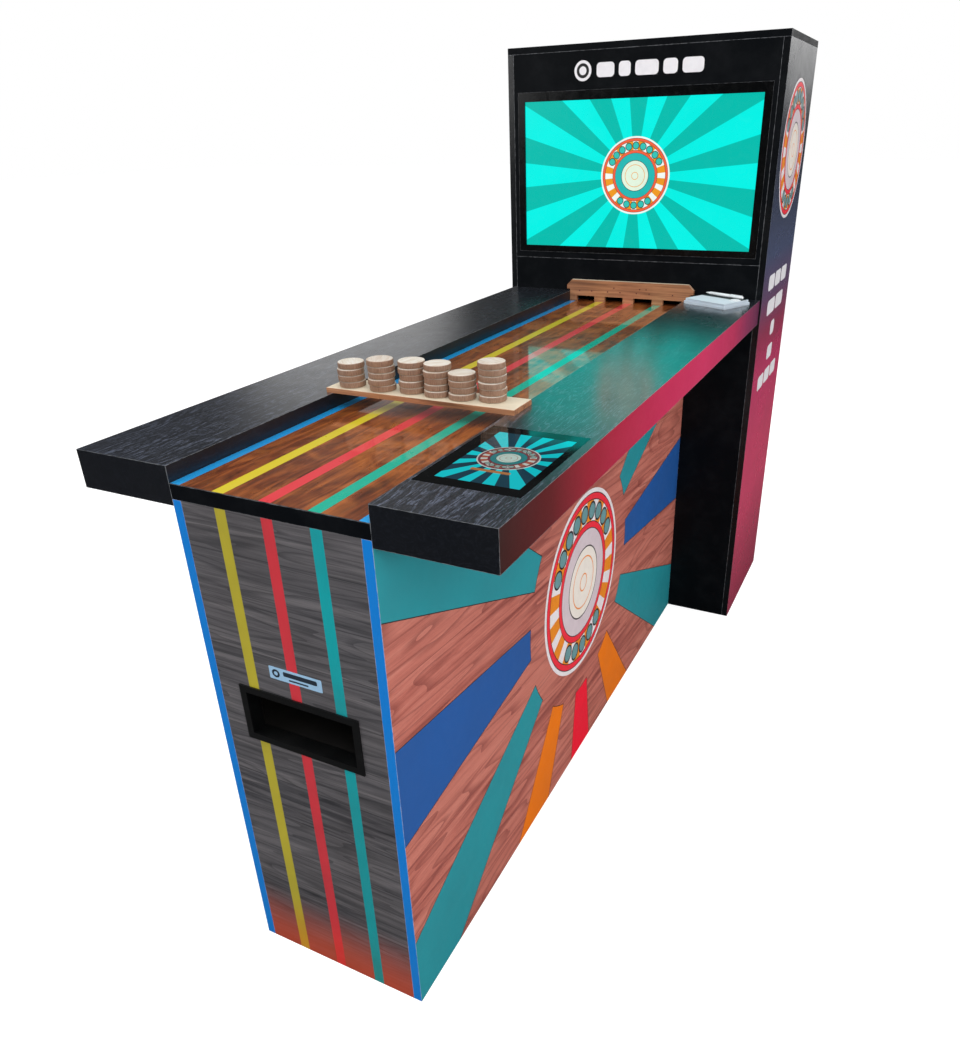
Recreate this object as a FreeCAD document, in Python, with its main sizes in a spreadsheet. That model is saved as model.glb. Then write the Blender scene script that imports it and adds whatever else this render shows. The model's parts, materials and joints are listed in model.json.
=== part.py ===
"""Arcade shuffleboard table with a display tower, as a parametric assembly of separate boards and fittings.

The player stands at the -Y end. +Z is up, +X is the player's right, and the origin lies on the floor,
under the middle of the overall length and width.
"""
import FreeCAD
import Part
import Sketcher
import math
import os

# Driving sizes, in millimetres unless a name says otherwise.
SIZES = {
    # playing lane and the boards of the base
    "lane_width": 380.0,
    "lane_level": 1023.4,
    "lane_thickness": 26.6,
    "lane_nosing": 2.0,
    "base_length": 1666.6,
    "board": 18.0,
    "ply": 9.0,
    "plinth": 30.0,
    "cross_rail_height": 60.0,
    "cross_rail_inset": 150.0,
    # armrest rails
    "rail_width": 200.6,
    "rail_rise": 29.6,
    "rail_thickness": 68.0,
    "rail_wall": 15.0,
    "rail_floor": 12.0,
    "rail_brackets": 5,
    "bracket_steel": 4.0,
    "bracket_width": 40.0,
    "bracket_drop": 150.0,
    "bracket_inset": 300.0,
    # tower
    "tower_reveal": 6.0,
    "tower_depth": 452.4,
    "tower_height": 1715.0,
    "tower_cap": 17.0,
    "fit_gap": 0.5,
    # display
    "bezel_width": 732.0,
    "bezel_bottom": 1165.0,
    "bezel_height": 436.5,
    "bezel_plate": 5.0,
    "screen_width": 690.0,
    "screen_height": 394.0,
    "screen_border": 18.0,
    "display_glass": 3.0,
    "display_depth": 45.0,
    "display_margin": 4.0,
    "display_rail_height": 30.0,
    "display_rail_spread": 80.0,
    # gate board
    "gate_board": 12.0,
    "gate_rise": 63.6,
    "gate_ear": 10.0,
    "gate_ear_rise": 6.0,
    "gate_chamfer": 16.0,
    "gate_play": 6.0,
    "gate_headroom": 4.3,
    "gate_pitch": 92.0,
    "gate_dot": 2.2,
    "gate_dot_depth": 2.0,
    "gate_dot_rise": 31.6,
    "gate_dot_row": 12.0,
    "gate_dot_spread": 20.0,
    # puck return
    "slot_level": 603.5,
    "slot_width": 250.0,
    "slot_height": 115.0,
    "slot_border": 13.5,
    "slot_flange": 3.0,
    "slot_sleeve": 26.0,
    "slot_wall": 3.0,
    "tray_depth": 230.0,
    "tray_step": 2.0,
    "tray_cleat": 20.0,
    "tray_corner_height": 60.0,
    "lane_inside": 12.0,
    "drop_gap": 110.0,
    "chute_drop": 100.0,
    "chute_clearance": 2.0,
    "fence_height": 40.0,
    "batten": 30.0,
    "batten_inset": 90.0,
    "passage_rise": 51.6,
    # tablet in the right rail
    "tablet_glass_width": 178.0,
    "tablet_glass_length": 268.0,
    "tablet_glass": 4.0,
    "tablet_setback": 100.5,
    "tablet_inset": 6.3,
    "tablet_width": 150.0,
    "tablet_length": 235.0,
    "strap_width": 20.0,
    "strap_steel": 2.0,
    "strap_spread": 80.0,
    # rear door, hinges and lock
    "door_bottom": 500.0,
    "door_height": 910.0,
    "door_gap": 2.0,
    "hinge_height": 62.0,
    "hinge_leaf": 2.0,
    "hinge_leaf_width": 28.0,
    "hinge_low": 665.0,
    "hinge_spread": 580.0,
    "knuckle_radius": 4.5,
    "knuckle_gap": 0.3,
    "hinge_pin_radius": 2.0,
    "pin_play": 0.05,
    "lock_inset": 43.0,
    "lock_radius": 9.0,
    "lock_flange_radius": 11.5,
    "lock_flange": 2.0,
    "lock_length": 36.0,
    "plug_radius": 6.0,
    "cam_clearance": 1.5,
    "cam_plate": 3.0,
    "cam_length": 38.0,
    "cam_width": 14.0,
    "stop_depth": 20.0,
    # fan behind the door's vents
    "fan_size": 120.0,
    "fan_depth": 25.0,
    "fan_rim": 3.0,
    "fan_tip_gap": 3.0,
    "fan_hub_radius": 19.0,
    "fan_boss_radius": 18.0,
    "fan_boss": 4.0,
    "fan_below_top": 110.0,
    "vent_count": 8,
    "vent_width": 104.0,
    "vent_height": 6.0,
    # electrics inside the tower
    "shelf_level": 700.0,
    "shelf_back_gap": 60.0,
    "shelf_depth": 190.0,
    "computer_width": 260.0,
    "computer_depth": 165.0,
    "computer_height": 90.0,
    "supply_width": 115.0,
    "supply_depth": 120.0,
    "supply_height": 50.0,
    "inlet_width": 30.0,
    "inlet_height": 50.0,
    "inlet_depth": 30.0,
    "inlet_flange": 3.0,
    "inlet_left": 290.0,
    "inlet_level": 150.0,
    "socket_width": 24.0,
    "socket_height": 16.0,
    "socket_depth": 16.0,
    "rocker_width": 13.0,
    "rocker_length": 20.0,
    "rocker_tilt": 8.0,
    "rocker_pivot_radius": 1.5,
    "rocker_axle_reach": 2.0,
    # loose pucks on their bar
    "bar_overlap": 15.0,
    "bar_depth": 74.0,
    "bar_thickness": 10.0,
    "bar_setback": 430.5,
    "bar_ease": 1.2,
    "bar_hole_radius": 2.5,
    "puck_radius": 26.0,
    "puck_thickness": 12.2,
    "puck_ease": 1.2,
    # score pads and pen
    "pad_length": 150.0,
    "pad_width": 112.0,
    "pad_thickness": 7.0,
    "pad_turn": -27.0,
    "pad_inset": 97.0,
    "pad_back": 88.6,
    "pen_radius": 4.5,
    "pen_length": 132.0,
}

# Each stack of pucks: its place across the bar, its place back from the bar's front edge, and its count.
STACKS = (
    (-163.5, 30.0, 4), (-91.0, 28.5, 5), (-27.5, 38.0, 5),
    (29.5, 36.0, 5), (83.0, 35.0, 4), (141.0, 44.0, 6),
)

# Dots over each gate, which say how many points it gives: (dots in the low row, dots in the high row).
GATE_DOTS = ((2, 0), (2, 1), (2, 2), (1, 0))

doc = FreeCAD.newDocument("shuffleboard_table")
sheet = doc.addObject("Spreadsheet::Sheet", "Sizes")
sub_parts = []


def fill_sheet():
    """Writes each driving size in the sheet, with its name beside it."""
    for row, (alias, value) in enumerate(SIZES.items(), start=1):
        sheet.set(f"A{row}", alias)
        sheet.set(f"B{row}", str(value))
        sheet.setAlias(f"B{row}", alias)
    doc.recompute()


fill_sheet()

# Places worked out from the driving sizes, as expressions.
HALF_LANE = "(Sizes.lane_width / 2)"
INNER_BASE = f"({HALF_LANE} - Sizes.board)"
HALF_TOWER = f"({HALF_LANE} + Sizes.rail_width + Sizes.tower_reveal)"
INNER_TOWER = f"({HALF_TOWER} - Sizes.board)"
FRONT = "((Sizes.slot_flange - Sizes.base_length - Sizes.tower_depth - 2 * Sizes.knuckle_radius) / 2)"
TOWER_FRONT = f"({FRONT} + Sizes.base_length)"
TOWER_BACK = f"({TOWER_FRONT} + Sizes.tower_depth)"
DOOR_INSIDE = f"({TOWER_BACK} - Sizes.board)"
BASE_TOP = "(Sizes.lane_level - Sizes.lane_thickness)"
RAIL_TOP = "(Sizes.lane_level + Sizes.rail_rise)"
RAIL_BOTTOM = f"({RAIL_TOP} - Sizes.rail_thickness)"
TOWER_TOP = "(Sizes.tower_height - Sizes.tower_cap)"
SLOT_BOTTOM = "(Sizes.slot_level - Sizes.slot_height / 2 + Sizes.slot_border)"
SLOT_INNER_HEIGHT = "(Sizes.slot_height - 2 * Sizes.slot_border)"
SLOT_INNER_WIDTH = "(Sizes.slot_width - 2 * Sizes.slot_border)"
TRAY_FRONT = f"({FRONT} + Sizes.slot_sleeve + Sizes.fit_gap)"
TRAY_BACK = f"({FRONT} + Sizes.tray_depth)"
TRAY_LENGTH = "(Sizes.tray_depth - Sizes.slot_sleeve - Sizes.fit_gap)"
LANE_END = f"({TOWER_FRONT} + Sizes.board + Sizes.lane_inside)"
CHUTE_END = f"({LANE_END} + Sizes.drop_gap)"
CHUTE_LOW = f"({SLOT_BOTTOM} + Sizes.tray_step)"
CHUTE_SLOPE = f"(({BASE_TOP} - Sizes.chute_drop - {CHUTE_LOW}) / ({CHUTE_END} - {TRAY_BACK}))"
CHUTE_ANGLE = f"atan({CHUTE_SLOPE})"
CHUTE_LENGTH = f"(({CHUTE_END} - {TRAY_BACK}) / cos({CHUTE_ANGLE}) - Sizes.ply)"
PASSAGE_BOTTOM = (f"({CHUTE_LOW} + {CHUTE_SLOPE} * (Sizes.base_length - Sizes.tray_depth)"
                  " - 2 * Sizes.ply)")
PASSAGE_TOP = "(Sizes.lane_level + Sizes.passage_rise)"
DOOR_TOP = "(Sizes.door_bottom + Sizes.door_height)"
HALF_DOOR = f"({INNER_TOWER} - Sizes.door_gap)"
HINGE_X = f"({INNER_TOWER} - Sizes.door_gap / 2)"
HINGE_Y = f"({TOWER_BACK} + Sizes.knuckle_radius)"
LOCK_X = f"(Sizes.lock_inset - {INNER_TOWER})"
LOCK_Z = "(Sizes.door_bottom + Sizes.door_height / 2)"
FAN_Z = f"({DOOR_TOP} - Sizes.fan_below_top)"
TABLET_X = f"({HALF_LANE} + Sizes.tablet_inset + Sizes.tablet_glass_width / 2)"
TABLET_Y = f"({FRONT} + Sizes.tablet_setback + Sizes.tablet_glass_length / 2)"
SHELF_FRONT = f"({TOWER_BACK} - Sizes.shelf_back_gap - Sizes.shelf_depth)"
SHELF_TOP = "(Sizes.shelf_level + Sizes.board)"
FAN_BORE = "(Sizes.fan_size / 2 - Sizes.fan_rim)"
GATE_WIDTH = "(2 * Sizes.puck_radius + Sizes.gate_play)"
GATE_HEIGHT = "(Sizes.puck_thickness + Sizes.gate_headroom)"
BAR_LENGTH = "(Sizes.lane_width + 2 * Sizes.bar_overlap)"
BAR_FRONT = f"({FRONT} + Sizes.bar_setback)"
BAR_TOP = f"({RAIL_TOP} + Sizes.bar_thickness)"
INLET_X = "(-Sizes.inlet_left)"
INLET_TOP = "(Sizes.inlet_level + Sizes.inlet_height)"
ROCKER_Z = f"({INLET_TOP} - Sizes.inlet_flange - Sizes.rocker_width / 2 - Sizes.rocker_axle_reach - 1.5)"


def size(alias):
    """Returns a driving size as a number, for what an expression can't hold."""
    return float(sheet.get(alias))


def keep(item, node):
    """Marks an object as a sub-part of the table, with the name of its node."""
    item.Label = node
    sub_parts.append(item)
    return item


def place(item, at):
    """Binds an object's position to three expressions."""
    for letter, text in zip("xyz", at):
        item.setExpression(f"Placement.Base.{letter}", text)
    return item


def block(name, at, extent):
    """Makes a block from its lowest corner and its three side lengths."""
    item = doc.addObject("Part::Box", name)
    for side, text in zip(("Length", "Width", "Height"), extent):
        item.setExpression(side, text)
    return place(item, at)


def board(node, at, extent):
    """Makes a plain board as a sub-part of its own."""
    return keep(block(node, at, extent), node)


def rod(name, at, radius, length, along="z"):
    """Makes a round rod from the middle of its first end."""
    item = doc.addObject("Part::Cylinder", name)
    turns = {"x": (FreeCAD.Vector(0, 1, 0), 90), "y": (FreeCAD.Vector(1, 0, 0), -90),
             "z": (FreeCAD.Vector(0, 0, 1), 0)}
    item.Placement = FreeCAD.Placement(FreeCAD.Vector(), FreeCAD.Rotation(*turns[along]))
    item.setExpression("Radius", radius)
    item.setExpression("Height", length)
    return place(item, at)


def fuse(name, pieces):
    """Joins pieces into one solid."""
    item = doc.addObject("Part::MultiFuse", name)
    item.Shapes = pieces
    item.Refine = True
    return item


def cut(name, base, tools):
    """Takes tools away from a base solid."""
    item = doc.addObject("Part::Cut", name)
    item.Base = base
    item.Tool = tools[0] if len(tools) == 1 else fuse(name + "_tools", tools)
    return item


def group(node, pieces):
    """Keeps like pieces together in one node, as separate solids."""
    item = doc.addObject("Part::Compound", node)
    item.Links = pieces
    return keep(item, node)


def new_body(node, at):
    """Starts a body that is a sub-part of its own."""
    body = doc.addObject("PartDesign::Body", node)
    return keep(place(body, at), node)


def new_sketch(body, name, role):
    """Starts a sketch on one of a body's own origin planes."""
    sketch = body.newObject("Sketcher::SketchObject", name)
    plane = next(item for item in body.Origin.OriginFeatures if item.Role == role)
    sketch.AttachmentSupport = [(plane, "")]
    sketch.MapMode = "FlatFace"
    return sketch


def number(text):
    """Works out an expression's value from the sheet."""
    result = sheet.evalExpression(text.replace("Sizes.", ""))
    return float(getattr(result, "Value", result))


def outline(sketch, points):
    """Draws a closed outline of straight lines through points given as pairs of expressions."""
    first = sketch.GeometryCount
    count = len(points)
    rough = [FreeCAD.Vector(number(across), number(up), 0) for across, up in points]
    for step in range(count):
        sketch.addGeometry(Part.LineSegment(rough[step], rough[(step + 1) % count]), False)
    for step in range(count):
        following = first + (step + 1) % count
        sketch.addConstraint(Sketcher.Constraint("Coincident", first + step, 2, following, 1))
    for step, (across, up) in enumerate(points):
        for kind, text in (("DistanceX", across), ("DistanceY", up)):
            added = sketch.addConstraint(Sketcher.Constraint(kind, -1, 1, first + step, 1, number(text)))
            sketch.setExpression(f"Constraints[{added}]", text)


def rectangle(sketch, left, low, wide, high):
    """Draws a rectangle from its low left corner."""
    right = f"{left} + {wide}"
    top = f"{low} + {high}"
    outline(sketch, [(left, low), (right, low), (right, top), (left, top)])


def circle(sketch, across, up, radius):
    """Draws a circle about a point given as a pair of expressions."""
    middle = FreeCAD.Vector(number(across), number(up), 0)
    index = sketch.addGeometry(Part.Circle(middle, FreeCAD.Vector(0, 0, 1), number(radius)), False)
    for kind, text in (("DistanceX", across), ("DistanceY", up)):
        added = sketch.addConstraint(Sketcher.Constraint(kind, -1, 1, index, 3, number(text)))
        sketch.setExpression(f"Constraints[{added}]", text)
    added = sketch.addConstraint(Sketcher.Constraint("Radius", index, number(radius)))
    sketch.setExpression(f"Constraints[{added}]", radius)


def pad(body, sketch, thickness, name="Pad", reverse=False):
    """Pads a sketch by a thickness."""
    feature = body.newObject("PartDesign::Pad", name)
    feature.Profile = sketch
    feature.setExpression("Length", thickness)
    feature.Reversed = reverse
    return feature


def pocket(body, sketch, depth, name="Pocket", reverse=False):
    """Cuts a sketch into the body by a depth."""
    feature = body.newObject("PartDesign::Pocket", name)
    feature.Profile = sketch
    feature.setExpression("Length", depth)
    feature.Reversed = reverse
    return feature


def upright_panel(node, at, thickness, wide, low, high, holes):
    """Makes a board that stands across the table, centred on X, with rectangular holes through it."""
    body = new_body(node, at)
    sketch = new_sketch(body, node + "_face", "XZ_Plane")
    rectangle(sketch, f"-({wide}) / 2", low, wide, f"({high} - ({low}))")
    for left, bottom, across, up in holes:
        rectangle(sketch, left, bottom, across, up)
    pad(body, sketch, thickness, reverse=True)
    return body


def make_base():
    """Makes the long cabinet that carries the lane, with the rails and cleats inside it."""
    height = BASE_TOP
    depth = "Sizes.base_length"
    board("base_left_panel", (f"-{HALF_LANE}", FRONT, "0"), ("Sizes.board", depth, height))
    board("base_right_panel", (INNER_BASE, FRONT, "0"), ("Sizes.board", depth, height))
    slot_gap = "Sizes.fit_gap"
    wide = f"({SLOT_INNER_WIDTH} + 2 * Sizes.slot_wall + 2 * {slot_gap})"
    tall = f"({SLOT_INNER_HEIGHT} + 2 * Sizes.slot_wall + 2 * {slot_gap})"
    slot = (f"-{wide} / 2", f"(Sizes.slot_level - {tall} / 2)", wide, tall)
    upright_panel("base_front_panel", ("0", FRONT, "0"), "Sizes.board", f"(2 * {INNER_BASE})", "0", height,
                  [slot])
    floor_depth = "(Sizes.base_length - Sizes.board)"
    board("base_bottom", (f"-{INNER_BASE}", f"{FRONT} + Sizes.board", "Sizes.plinth"),
          (f"2 * {INNER_BASE}", floor_depth, "Sizes.board"))
    rails = []
    for index, place_y in enumerate((
            f"{FRONT} + Sizes.cross_rail_inset",
            f"{FRONT} + (Sizes.base_length - Sizes.board) / 2",
            f"{TOWER_FRONT} - Sizes.cross_rail_inset - Sizes.board")):
        rails.append(block(f"cross_rail_{index}",
                           (f"-{INNER_BASE}", place_y, f"{height} - Sizes.cross_rail_height"),
                           (f"2 * {INNER_BASE}", "Sizes.board", "Sizes.cross_rail_height")))
    for step in range(4):
        spread = "((Sizes.base_length - Sizes.tray_depth - 2 * Sizes.batten_inset) / 3)"
        rails.append(on_chute(f"chute_batten_{step}", f"-{INNER_BASE}",
                              f"Sizes.batten_inset + {step} * {spread}", "-Sizes.batten",
                              (f"2 * {INNER_BASE}", "Sizes.batten", "Sizes.batten")))
    for index, left in enumerate((f"-{INNER_BASE}", f"{INNER_BASE} - Sizes.tray_cleat")):
        rails.append(block(f"tray_cleat_{index}",
                           (left, TRAY_FRONT, f"{SLOT_BOTTOM} - Sizes.ply - Sizes.tray_cleat"),
                           ("Sizes.tray_cleat", TRAY_LENGTH, "Sizes.tray_cleat")))
    group("base_cross_rails", rails)


def make_lane():
    """Makes the playing board and the strip that edges its front."""
    board("lane_board", (f"-{HALF_LANE}", f"{FRONT} + Sizes.lane_nosing", BASE_TOP),
          ("Sizes.lane_width", f"{LANE_END} - {FRONT} - Sizes.lane_nosing", "Sizes.lane_thickness"))
    board("lane_nosing", (f"-{HALF_LANE}", FRONT, BASE_TOP),
          ("Sizes.lane_width", "Sizes.lane_nosing", "Sizes.lane_thickness"))


def rail_shell(node, left, tablet):
    """Makes one armrest as a folded box that is open below, with the tablet's seat in it if it has one."""
    body = new_body(node, ("0", "0", RAIL_BOTTOM))
    outer = new_sketch(body, node + "_outer", "XY_Plane")
    rectangle(outer, left, FRONT, "Sizes.rail_width", "Sizes.base_length")
    pad(body, outer, "Sizes.rail_thickness", node + "_block")
    inner = new_sketch(body, node + "_inner", "XY_Plane")
    rectangle(inner, f"{left} + Sizes.rail_wall", f"{FRONT} + Sizes.rail_wall",
              "(Sizes.rail_width - 2 * Sizes.rail_wall)", "(Sizes.base_length - 2 * Sizes.rail_wall)")
    pocket(body, inner, "Sizes.rail_thickness - Sizes.rail_wall", node + "_hollow", reverse=True)
    if tablet:
        window = new_sketch(body, node + "_window", "XY_Plane")
        centred(window, TABLET_X, TABLET_Y, "(Sizes.tablet_width + 2 * Sizes.fit_gap)",
                "(Sizes.tablet_length + 2 * Sizes.fit_gap)")
        pocket(body, window, "Sizes.rail_thickness", node + "_opening", reverse=True)
        seat = new_sketch(body, node + "_seat", "XY_Plane")
        seat.AttachmentOffset.Base = FreeCAD.Vector(0, 0, number("Sizes.rail_thickness"))
        seat.setExpression("AttachmentOffset.Base.z", "Sizes.rail_thickness")
        centred(seat, TABLET_X, TABLET_Y, "(Sizes.tablet_glass_width + Sizes.fit_gap)",
                "(Sizes.tablet_glass_length + Sizes.fit_gap)")
        pocket(body, seat, "Sizes.tablet_glass", node + "_rebate")


def centred(sketch, across, up, wide, high):
    """Draws a rectangle about its middle."""
    rectangle(sketch, f"({across} - {wide} / 2)", f"({up} - {high} / 2)", wide, high)


def rail_bracket(name, side, middle):
    """Makes one gusseted steel bracket under an armrest; side is 1 on the right and -1 on the left."""
    reach = "(Sizes.rail_width - Sizes.rail_wall)"
    left = HALF_LANE if side > 0 else f"(-{HALF_LANE} - Sizes.bracket_steel)"
    leg = block(name + "_leg", (left, f"{middle} - Sizes.bracket_width / 2",
                                f"{RAIL_BOTTOM} - Sizes.bracket_drop"),
                ("Sizes.bracket_steel", "Sizes.bracket_width", "Sizes.bracket_drop"))
    arm_left = HALF_LANE if side > 0 else f"(-{HALF_LANE} - {reach})"
    arm = block(name + "_arm", (arm_left, f"{middle} - Sizes.bracket_width / 2",
                                f"{RAIL_BOTTOM} - Sizes.bracket_steel"),
                (reach, "Sizes.bracket_width", "Sizes.bracket_steel"))
    web = doc.addObject("Part::Wedge", name + "_web")
    turn = FreeCAD.Rotation(FreeCAD.Vector(1, 0, 0), -90)
    if side < 0:
        turn = FreeCAD.Rotation(FreeCAD.Vector(0, 0, 1), 180).multiply(turn)
    web.Placement = FreeCAD.Placement(FreeCAD.Vector(), turn)
    for letter, text in (("Xmin", "0"), ("X2min", "0"), ("X2max", "0"), ("Ymin", "0"), ("Zmin", "0"),
                         ("Z2min", "0"), ("Xmax", f"{reach} - Sizes.bracket_steel"),
                         ("Ymax", "Sizes.bracket_drop - Sizes.bracket_steel"),
                         ("Zmax", "Sizes.bracket_steel"), ("Z2max", "Sizes.bracket_steel")):
        web.setExpression(letter, text)
    shift = "- Sizes.bracket_steel / 2" if side > 0 else "+ Sizes.bracket_steel / 2"
    place(web, (f"{side} * ({HALF_LANE} + Sizes.bracket_steel)", f"{middle} {shift}",
                f"{RAIL_BOTTOM} - Sizes.bracket_steel"))
    return fuse(name, [leg, arm, web])


def make_rails():
    """Makes both armrests with their bottoms and the brackets that hold them up."""
    left = f"(-{HALF_LANE} - Sizes.rail_width)"
    rail_shell("left_rail_shell", left, tablet=False)
    rail_shell("right_rail_shell", HALF_LANE, tablet=True)
    group("rail_bottoms", [
        block(name, (f"{corner} + Sizes.rail_wall", f"{FRONT} + Sizes.rail_wall", RAIL_BOTTOM),
              ("Sizes.rail_width - 2 * Sizes.rail_wall", "Sizes.base_length - 2 * Sizes.rail_wall",
               "Sizes.rail_floor"))
        for name, corner in (("left_rail_bottom", left), ("right_rail_bottom", HALF_LANE))])
    count = int(size("rail_brackets"))
    pitch = f"((Sizes.base_length - 2 * Sizes.bracket_inset) / {count - 1})"
    for node, side in (("left_rail_brackets", -1), ("right_rail_brackets", 1)):
        group(node, [rail_bracket(f"{node}_{step}", side,
                                  f"({FRONT} + Sizes.bracket_inset + {step} * {pitch})")
                     for step in range(count)])


def on_chute(name, across, along, lift, extent):
    """Makes a block that is square to the sloping chute, at a place along and above its underside."""
    item = block(name, ("0", "0", "0"), extent)
    item.Placement = FreeCAD.Placement(FreeCAD.Vector(), FreeCAD.Rotation(FreeCAD.Vector(1, 0, 0), 10))
    item.setExpression("Placement.Rotation.Angle", CHUTE_ANGLE)
    rise = f"({lift} - Sizes.ply)"
    return place(item, (across,
                        f"{TRAY_BACK} + ({along}) * cos({CHUTE_ANGLE}) - {rise} * sin({CHUTE_ANGLE})",
                        f"{CHUTE_LOW} + ({along}) * sin({CHUTE_ANGLE}) + {rise} * cos({CHUTE_ANGLE})"))


def make_puck_return():
    """Makes the drop box behind the gates, the chute, the tray and the slot where pucks come out."""
    outer_wide = f"({SLOT_INNER_WIDTH} + 2 * Sizes.slot_wall)"
    outer_tall = f"({SLOT_INNER_HEIGHT} + 2 * Sizes.slot_wall)"
    frame = new_body("slot_frame", ("0", FRONT, "Sizes.slot_level"))
    flange = new_sketch(frame, "slot_flange_face", "XZ_Plane")
    centred(flange, "0", "0", "Sizes.slot_width", "Sizes.slot_height")
    centred(flange, "0", "0", SLOT_INNER_WIDTH, SLOT_INNER_HEIGHT)
    pad(frame, flange, "Sizes.slot_flange", "slot_flange_pad")
    sleeve = new_sketch(frame, "slot_sleeve_face", "XZ_Plane")
    centred(sleeve, "0", "0", outer_wide, outer_tall)
    centred(sleeve, "0", "0", SLOT_INNER_WIDTH, SLOT_INNER_HEIGHT)
    pad(frame, sleeve, "Sizes.slot_sleeve", "slot_sleeve_pad", reverse=True)

    board("return_tray", (f"-{INNER_BASE}", TRAY_FRONT, f"{SLOT_BOTTOM} - Sizes.ply"),
          (f"2 * {INNER_BASE}", TRAY_LENGTH, "Sizes.ply"))
    group("tray_corner_blocks", [tray_corner("tray_corner_left", -1), tray_corner("tray_corner_right", 1)])

    floor_wide = f"(2 * {INNER_BASE} - 2 * Sizes.chute_clearance)"
    floor_left = f"(Sizes.chute_clearance - {INNER_BASE})"
    keep(on_chute("return_chute", floor_left, "Sizes.chute_clearance", "0",
                  (floor_wide, CHUTE_LENGTH, "Sizes.ply")), "return_chute")
    fences = [on_chute(f"chute_fence_{index}", left, "Sizes.chute_clearance", "Sizes.ply",
                       ("Sizes.ply", CHUTE_LENGTH, "Sizes.fence_height"))
              for index, left in enumerate((floor_left, f"-{floor_left} - Sizes.ply"))]
    group("chute_fences", fences)

    top = f"({PASSAGE_TOP} + Sizes.board)"
    side_gap = f"({HALF_LANE} + Sizes.fit_gap)"
    sides = [block(f"drop_side_{index}", (left, f"{TOWER_FRONT} + Sizes.board", PASSAGE_BOTTOM),
                   ("Sizes.ply", f"{CHUTE_END} - {TOWER_FRONT} - Sizes.board", f"{top} - {PASSAGE_BOTTOM}"))
             for index, left in enumerate((f"-{side_gap} - Sizes.ply", side_gap))]
    back = block("drop_back", (f"-{side_gap} - Sizes.ply", CHUTE_END, PASSAGE_BOTTOM),
                 (f"2 * ({side_gap} + Sizes.ply)", "Sizes.ply", f"{top} - {PASSAGE_BOTTOM}"))
    group("drop_box", [*sides, back])


def tray_corner(name, side):
    """Makes one of the corner blocks that steer pucks to the slot; side is 1 on the right."""
    reach = f"({INNER_BASE} - {SLOT_INNER_WIDTH} / 2)"
    item = doc.addObject("Part::Wedge", name)
    far = f"{side} * {INNER_BASE}"
    near = f"{side} * ({INNER_BASE} - {reach})"
    low, high = (near, far) if side > 0 else (far, near)
    for letter, text in (("Xmin", low), ("Xmax", high), ("X2min", far), ("X2max", far), ("Ymin", "0"),
                         ("Ymax", reach), ("Zmin", "0"), ("Z2min", "0"),
                         ("Zmax", "Sizes.tray_corner_height"), ("Z2max", "Sizes.tray_corner_height")):
        item.setExpression(letter, text)
    return place(item, ("0", TRAY_FRONT, SLOT_BOTTOM))


def make_gates():
    """Makes the board with four scoring gates, its value dots, and the sensors over the gates."""
    body = new_body("gate_board", ("0", f"{TOWER_FRONT} - Sizes.gate_board", "Sizes.lane_level"))
    sketch = new_sketch(body, "gate_face", "XZ_Plane")
    half = HALF_LANE
    ear = f"({HALF_LANE} + Sizes.gate_ear)"
    shoulder = "(Sizes.rail_rise + Sizes.gate_ear_rise)"
    top = "Sizes.gate_rise"
    slope = "Sizes.gate_chamfer"
    points = [(f"-{half}", "0")]
    for gate in range(4):
        middle = f"(Sizes.gate_pitch * {gate - 1.5})"
        left = f"({middle} - {GATE_WIDTH} / 2)"
        right = f"({middle} + {GATE_WIDTH} / 2)"
        points += [(left, "0"), (left, GATE_HEIGHT), (right, GATE_HEIGHT), (right, "0")]
    points += [(half, "0"), (half, shoulder), (ear, shoulder), (ear, f"({top} - {slope})"),
               (f"({ear} - {slope})", top), (f"({slope} - {ear})", top), (f"-{ear}", f"({top} - {slope})"),
               (f"-{ear}", shoulder), (f"-{half}", shoulder)]
    outline(sketch, points)
    pad(body, sketch, "Sizes.gate_board", "gate_pad", reverse=True)
    dots = new_sketch(body, "gate_dot_face", "XZ_Plane")
    pins = []
    for gate, (low_row, high_row) in enumerate(GATE_DOTS):
        for row, count in enumerate((low_row, high_row)):
            for step in range(count):
                spread = 1.0 if row == 0 else 0.5
                across = (f"(Sizes.gate_pitch * {gate - 1.5}"
                          f" + Sizes.gate_dot_spread * {spread * (2 * step - count + 1)})")
                up = f"(Sizes.gate_dot_rise + Sizes.gate_dot_row * {row})"
                circle(dots, across, up, "Sizes.gate_dot")
                pins.append(rod(f"gate_dot_{gate}_{row}_{step}",
                                (across, f"{TOWER_FRONT} - Sizes.gate_board",
                                 f"Sizes.lane_level + {up}"),
                                "Sizes.gate_dot", "Sizes.gate_dot_depth", along="y"))
    pocket(body, dots, "Sizes.gate_dot_depth", "gate_dot_cut")
    group("gate_value_dots", pins)

    bar_low = f"({PASSAGE_TOP} - Sizes.board)"
    bar = block("sensor_bar", (f"-{HALF_LANE} + Sizes.board", f"{TOWER_FRONT} + Sizes.board", bar_low),
                ("Sizes.lane_width - 2 * Sizes.board", "Sizes.board / 3", "2 * Sizes.board"))
    sensors = [block(f"gate_sensor_{gate}",
                     (f"Sizes.gate_pitch * {gate - 1.5} - Sizes.board / 2",
                      f"{TOWER_FRONT} + Sizes.board - Sizes.ply", bar_low),
                     ("Sizes.board", "Sizes.ply", "Sizes.ply"))
               for gate in range(4)]
    group("gate_sensors", [bar, *sensors])


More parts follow.
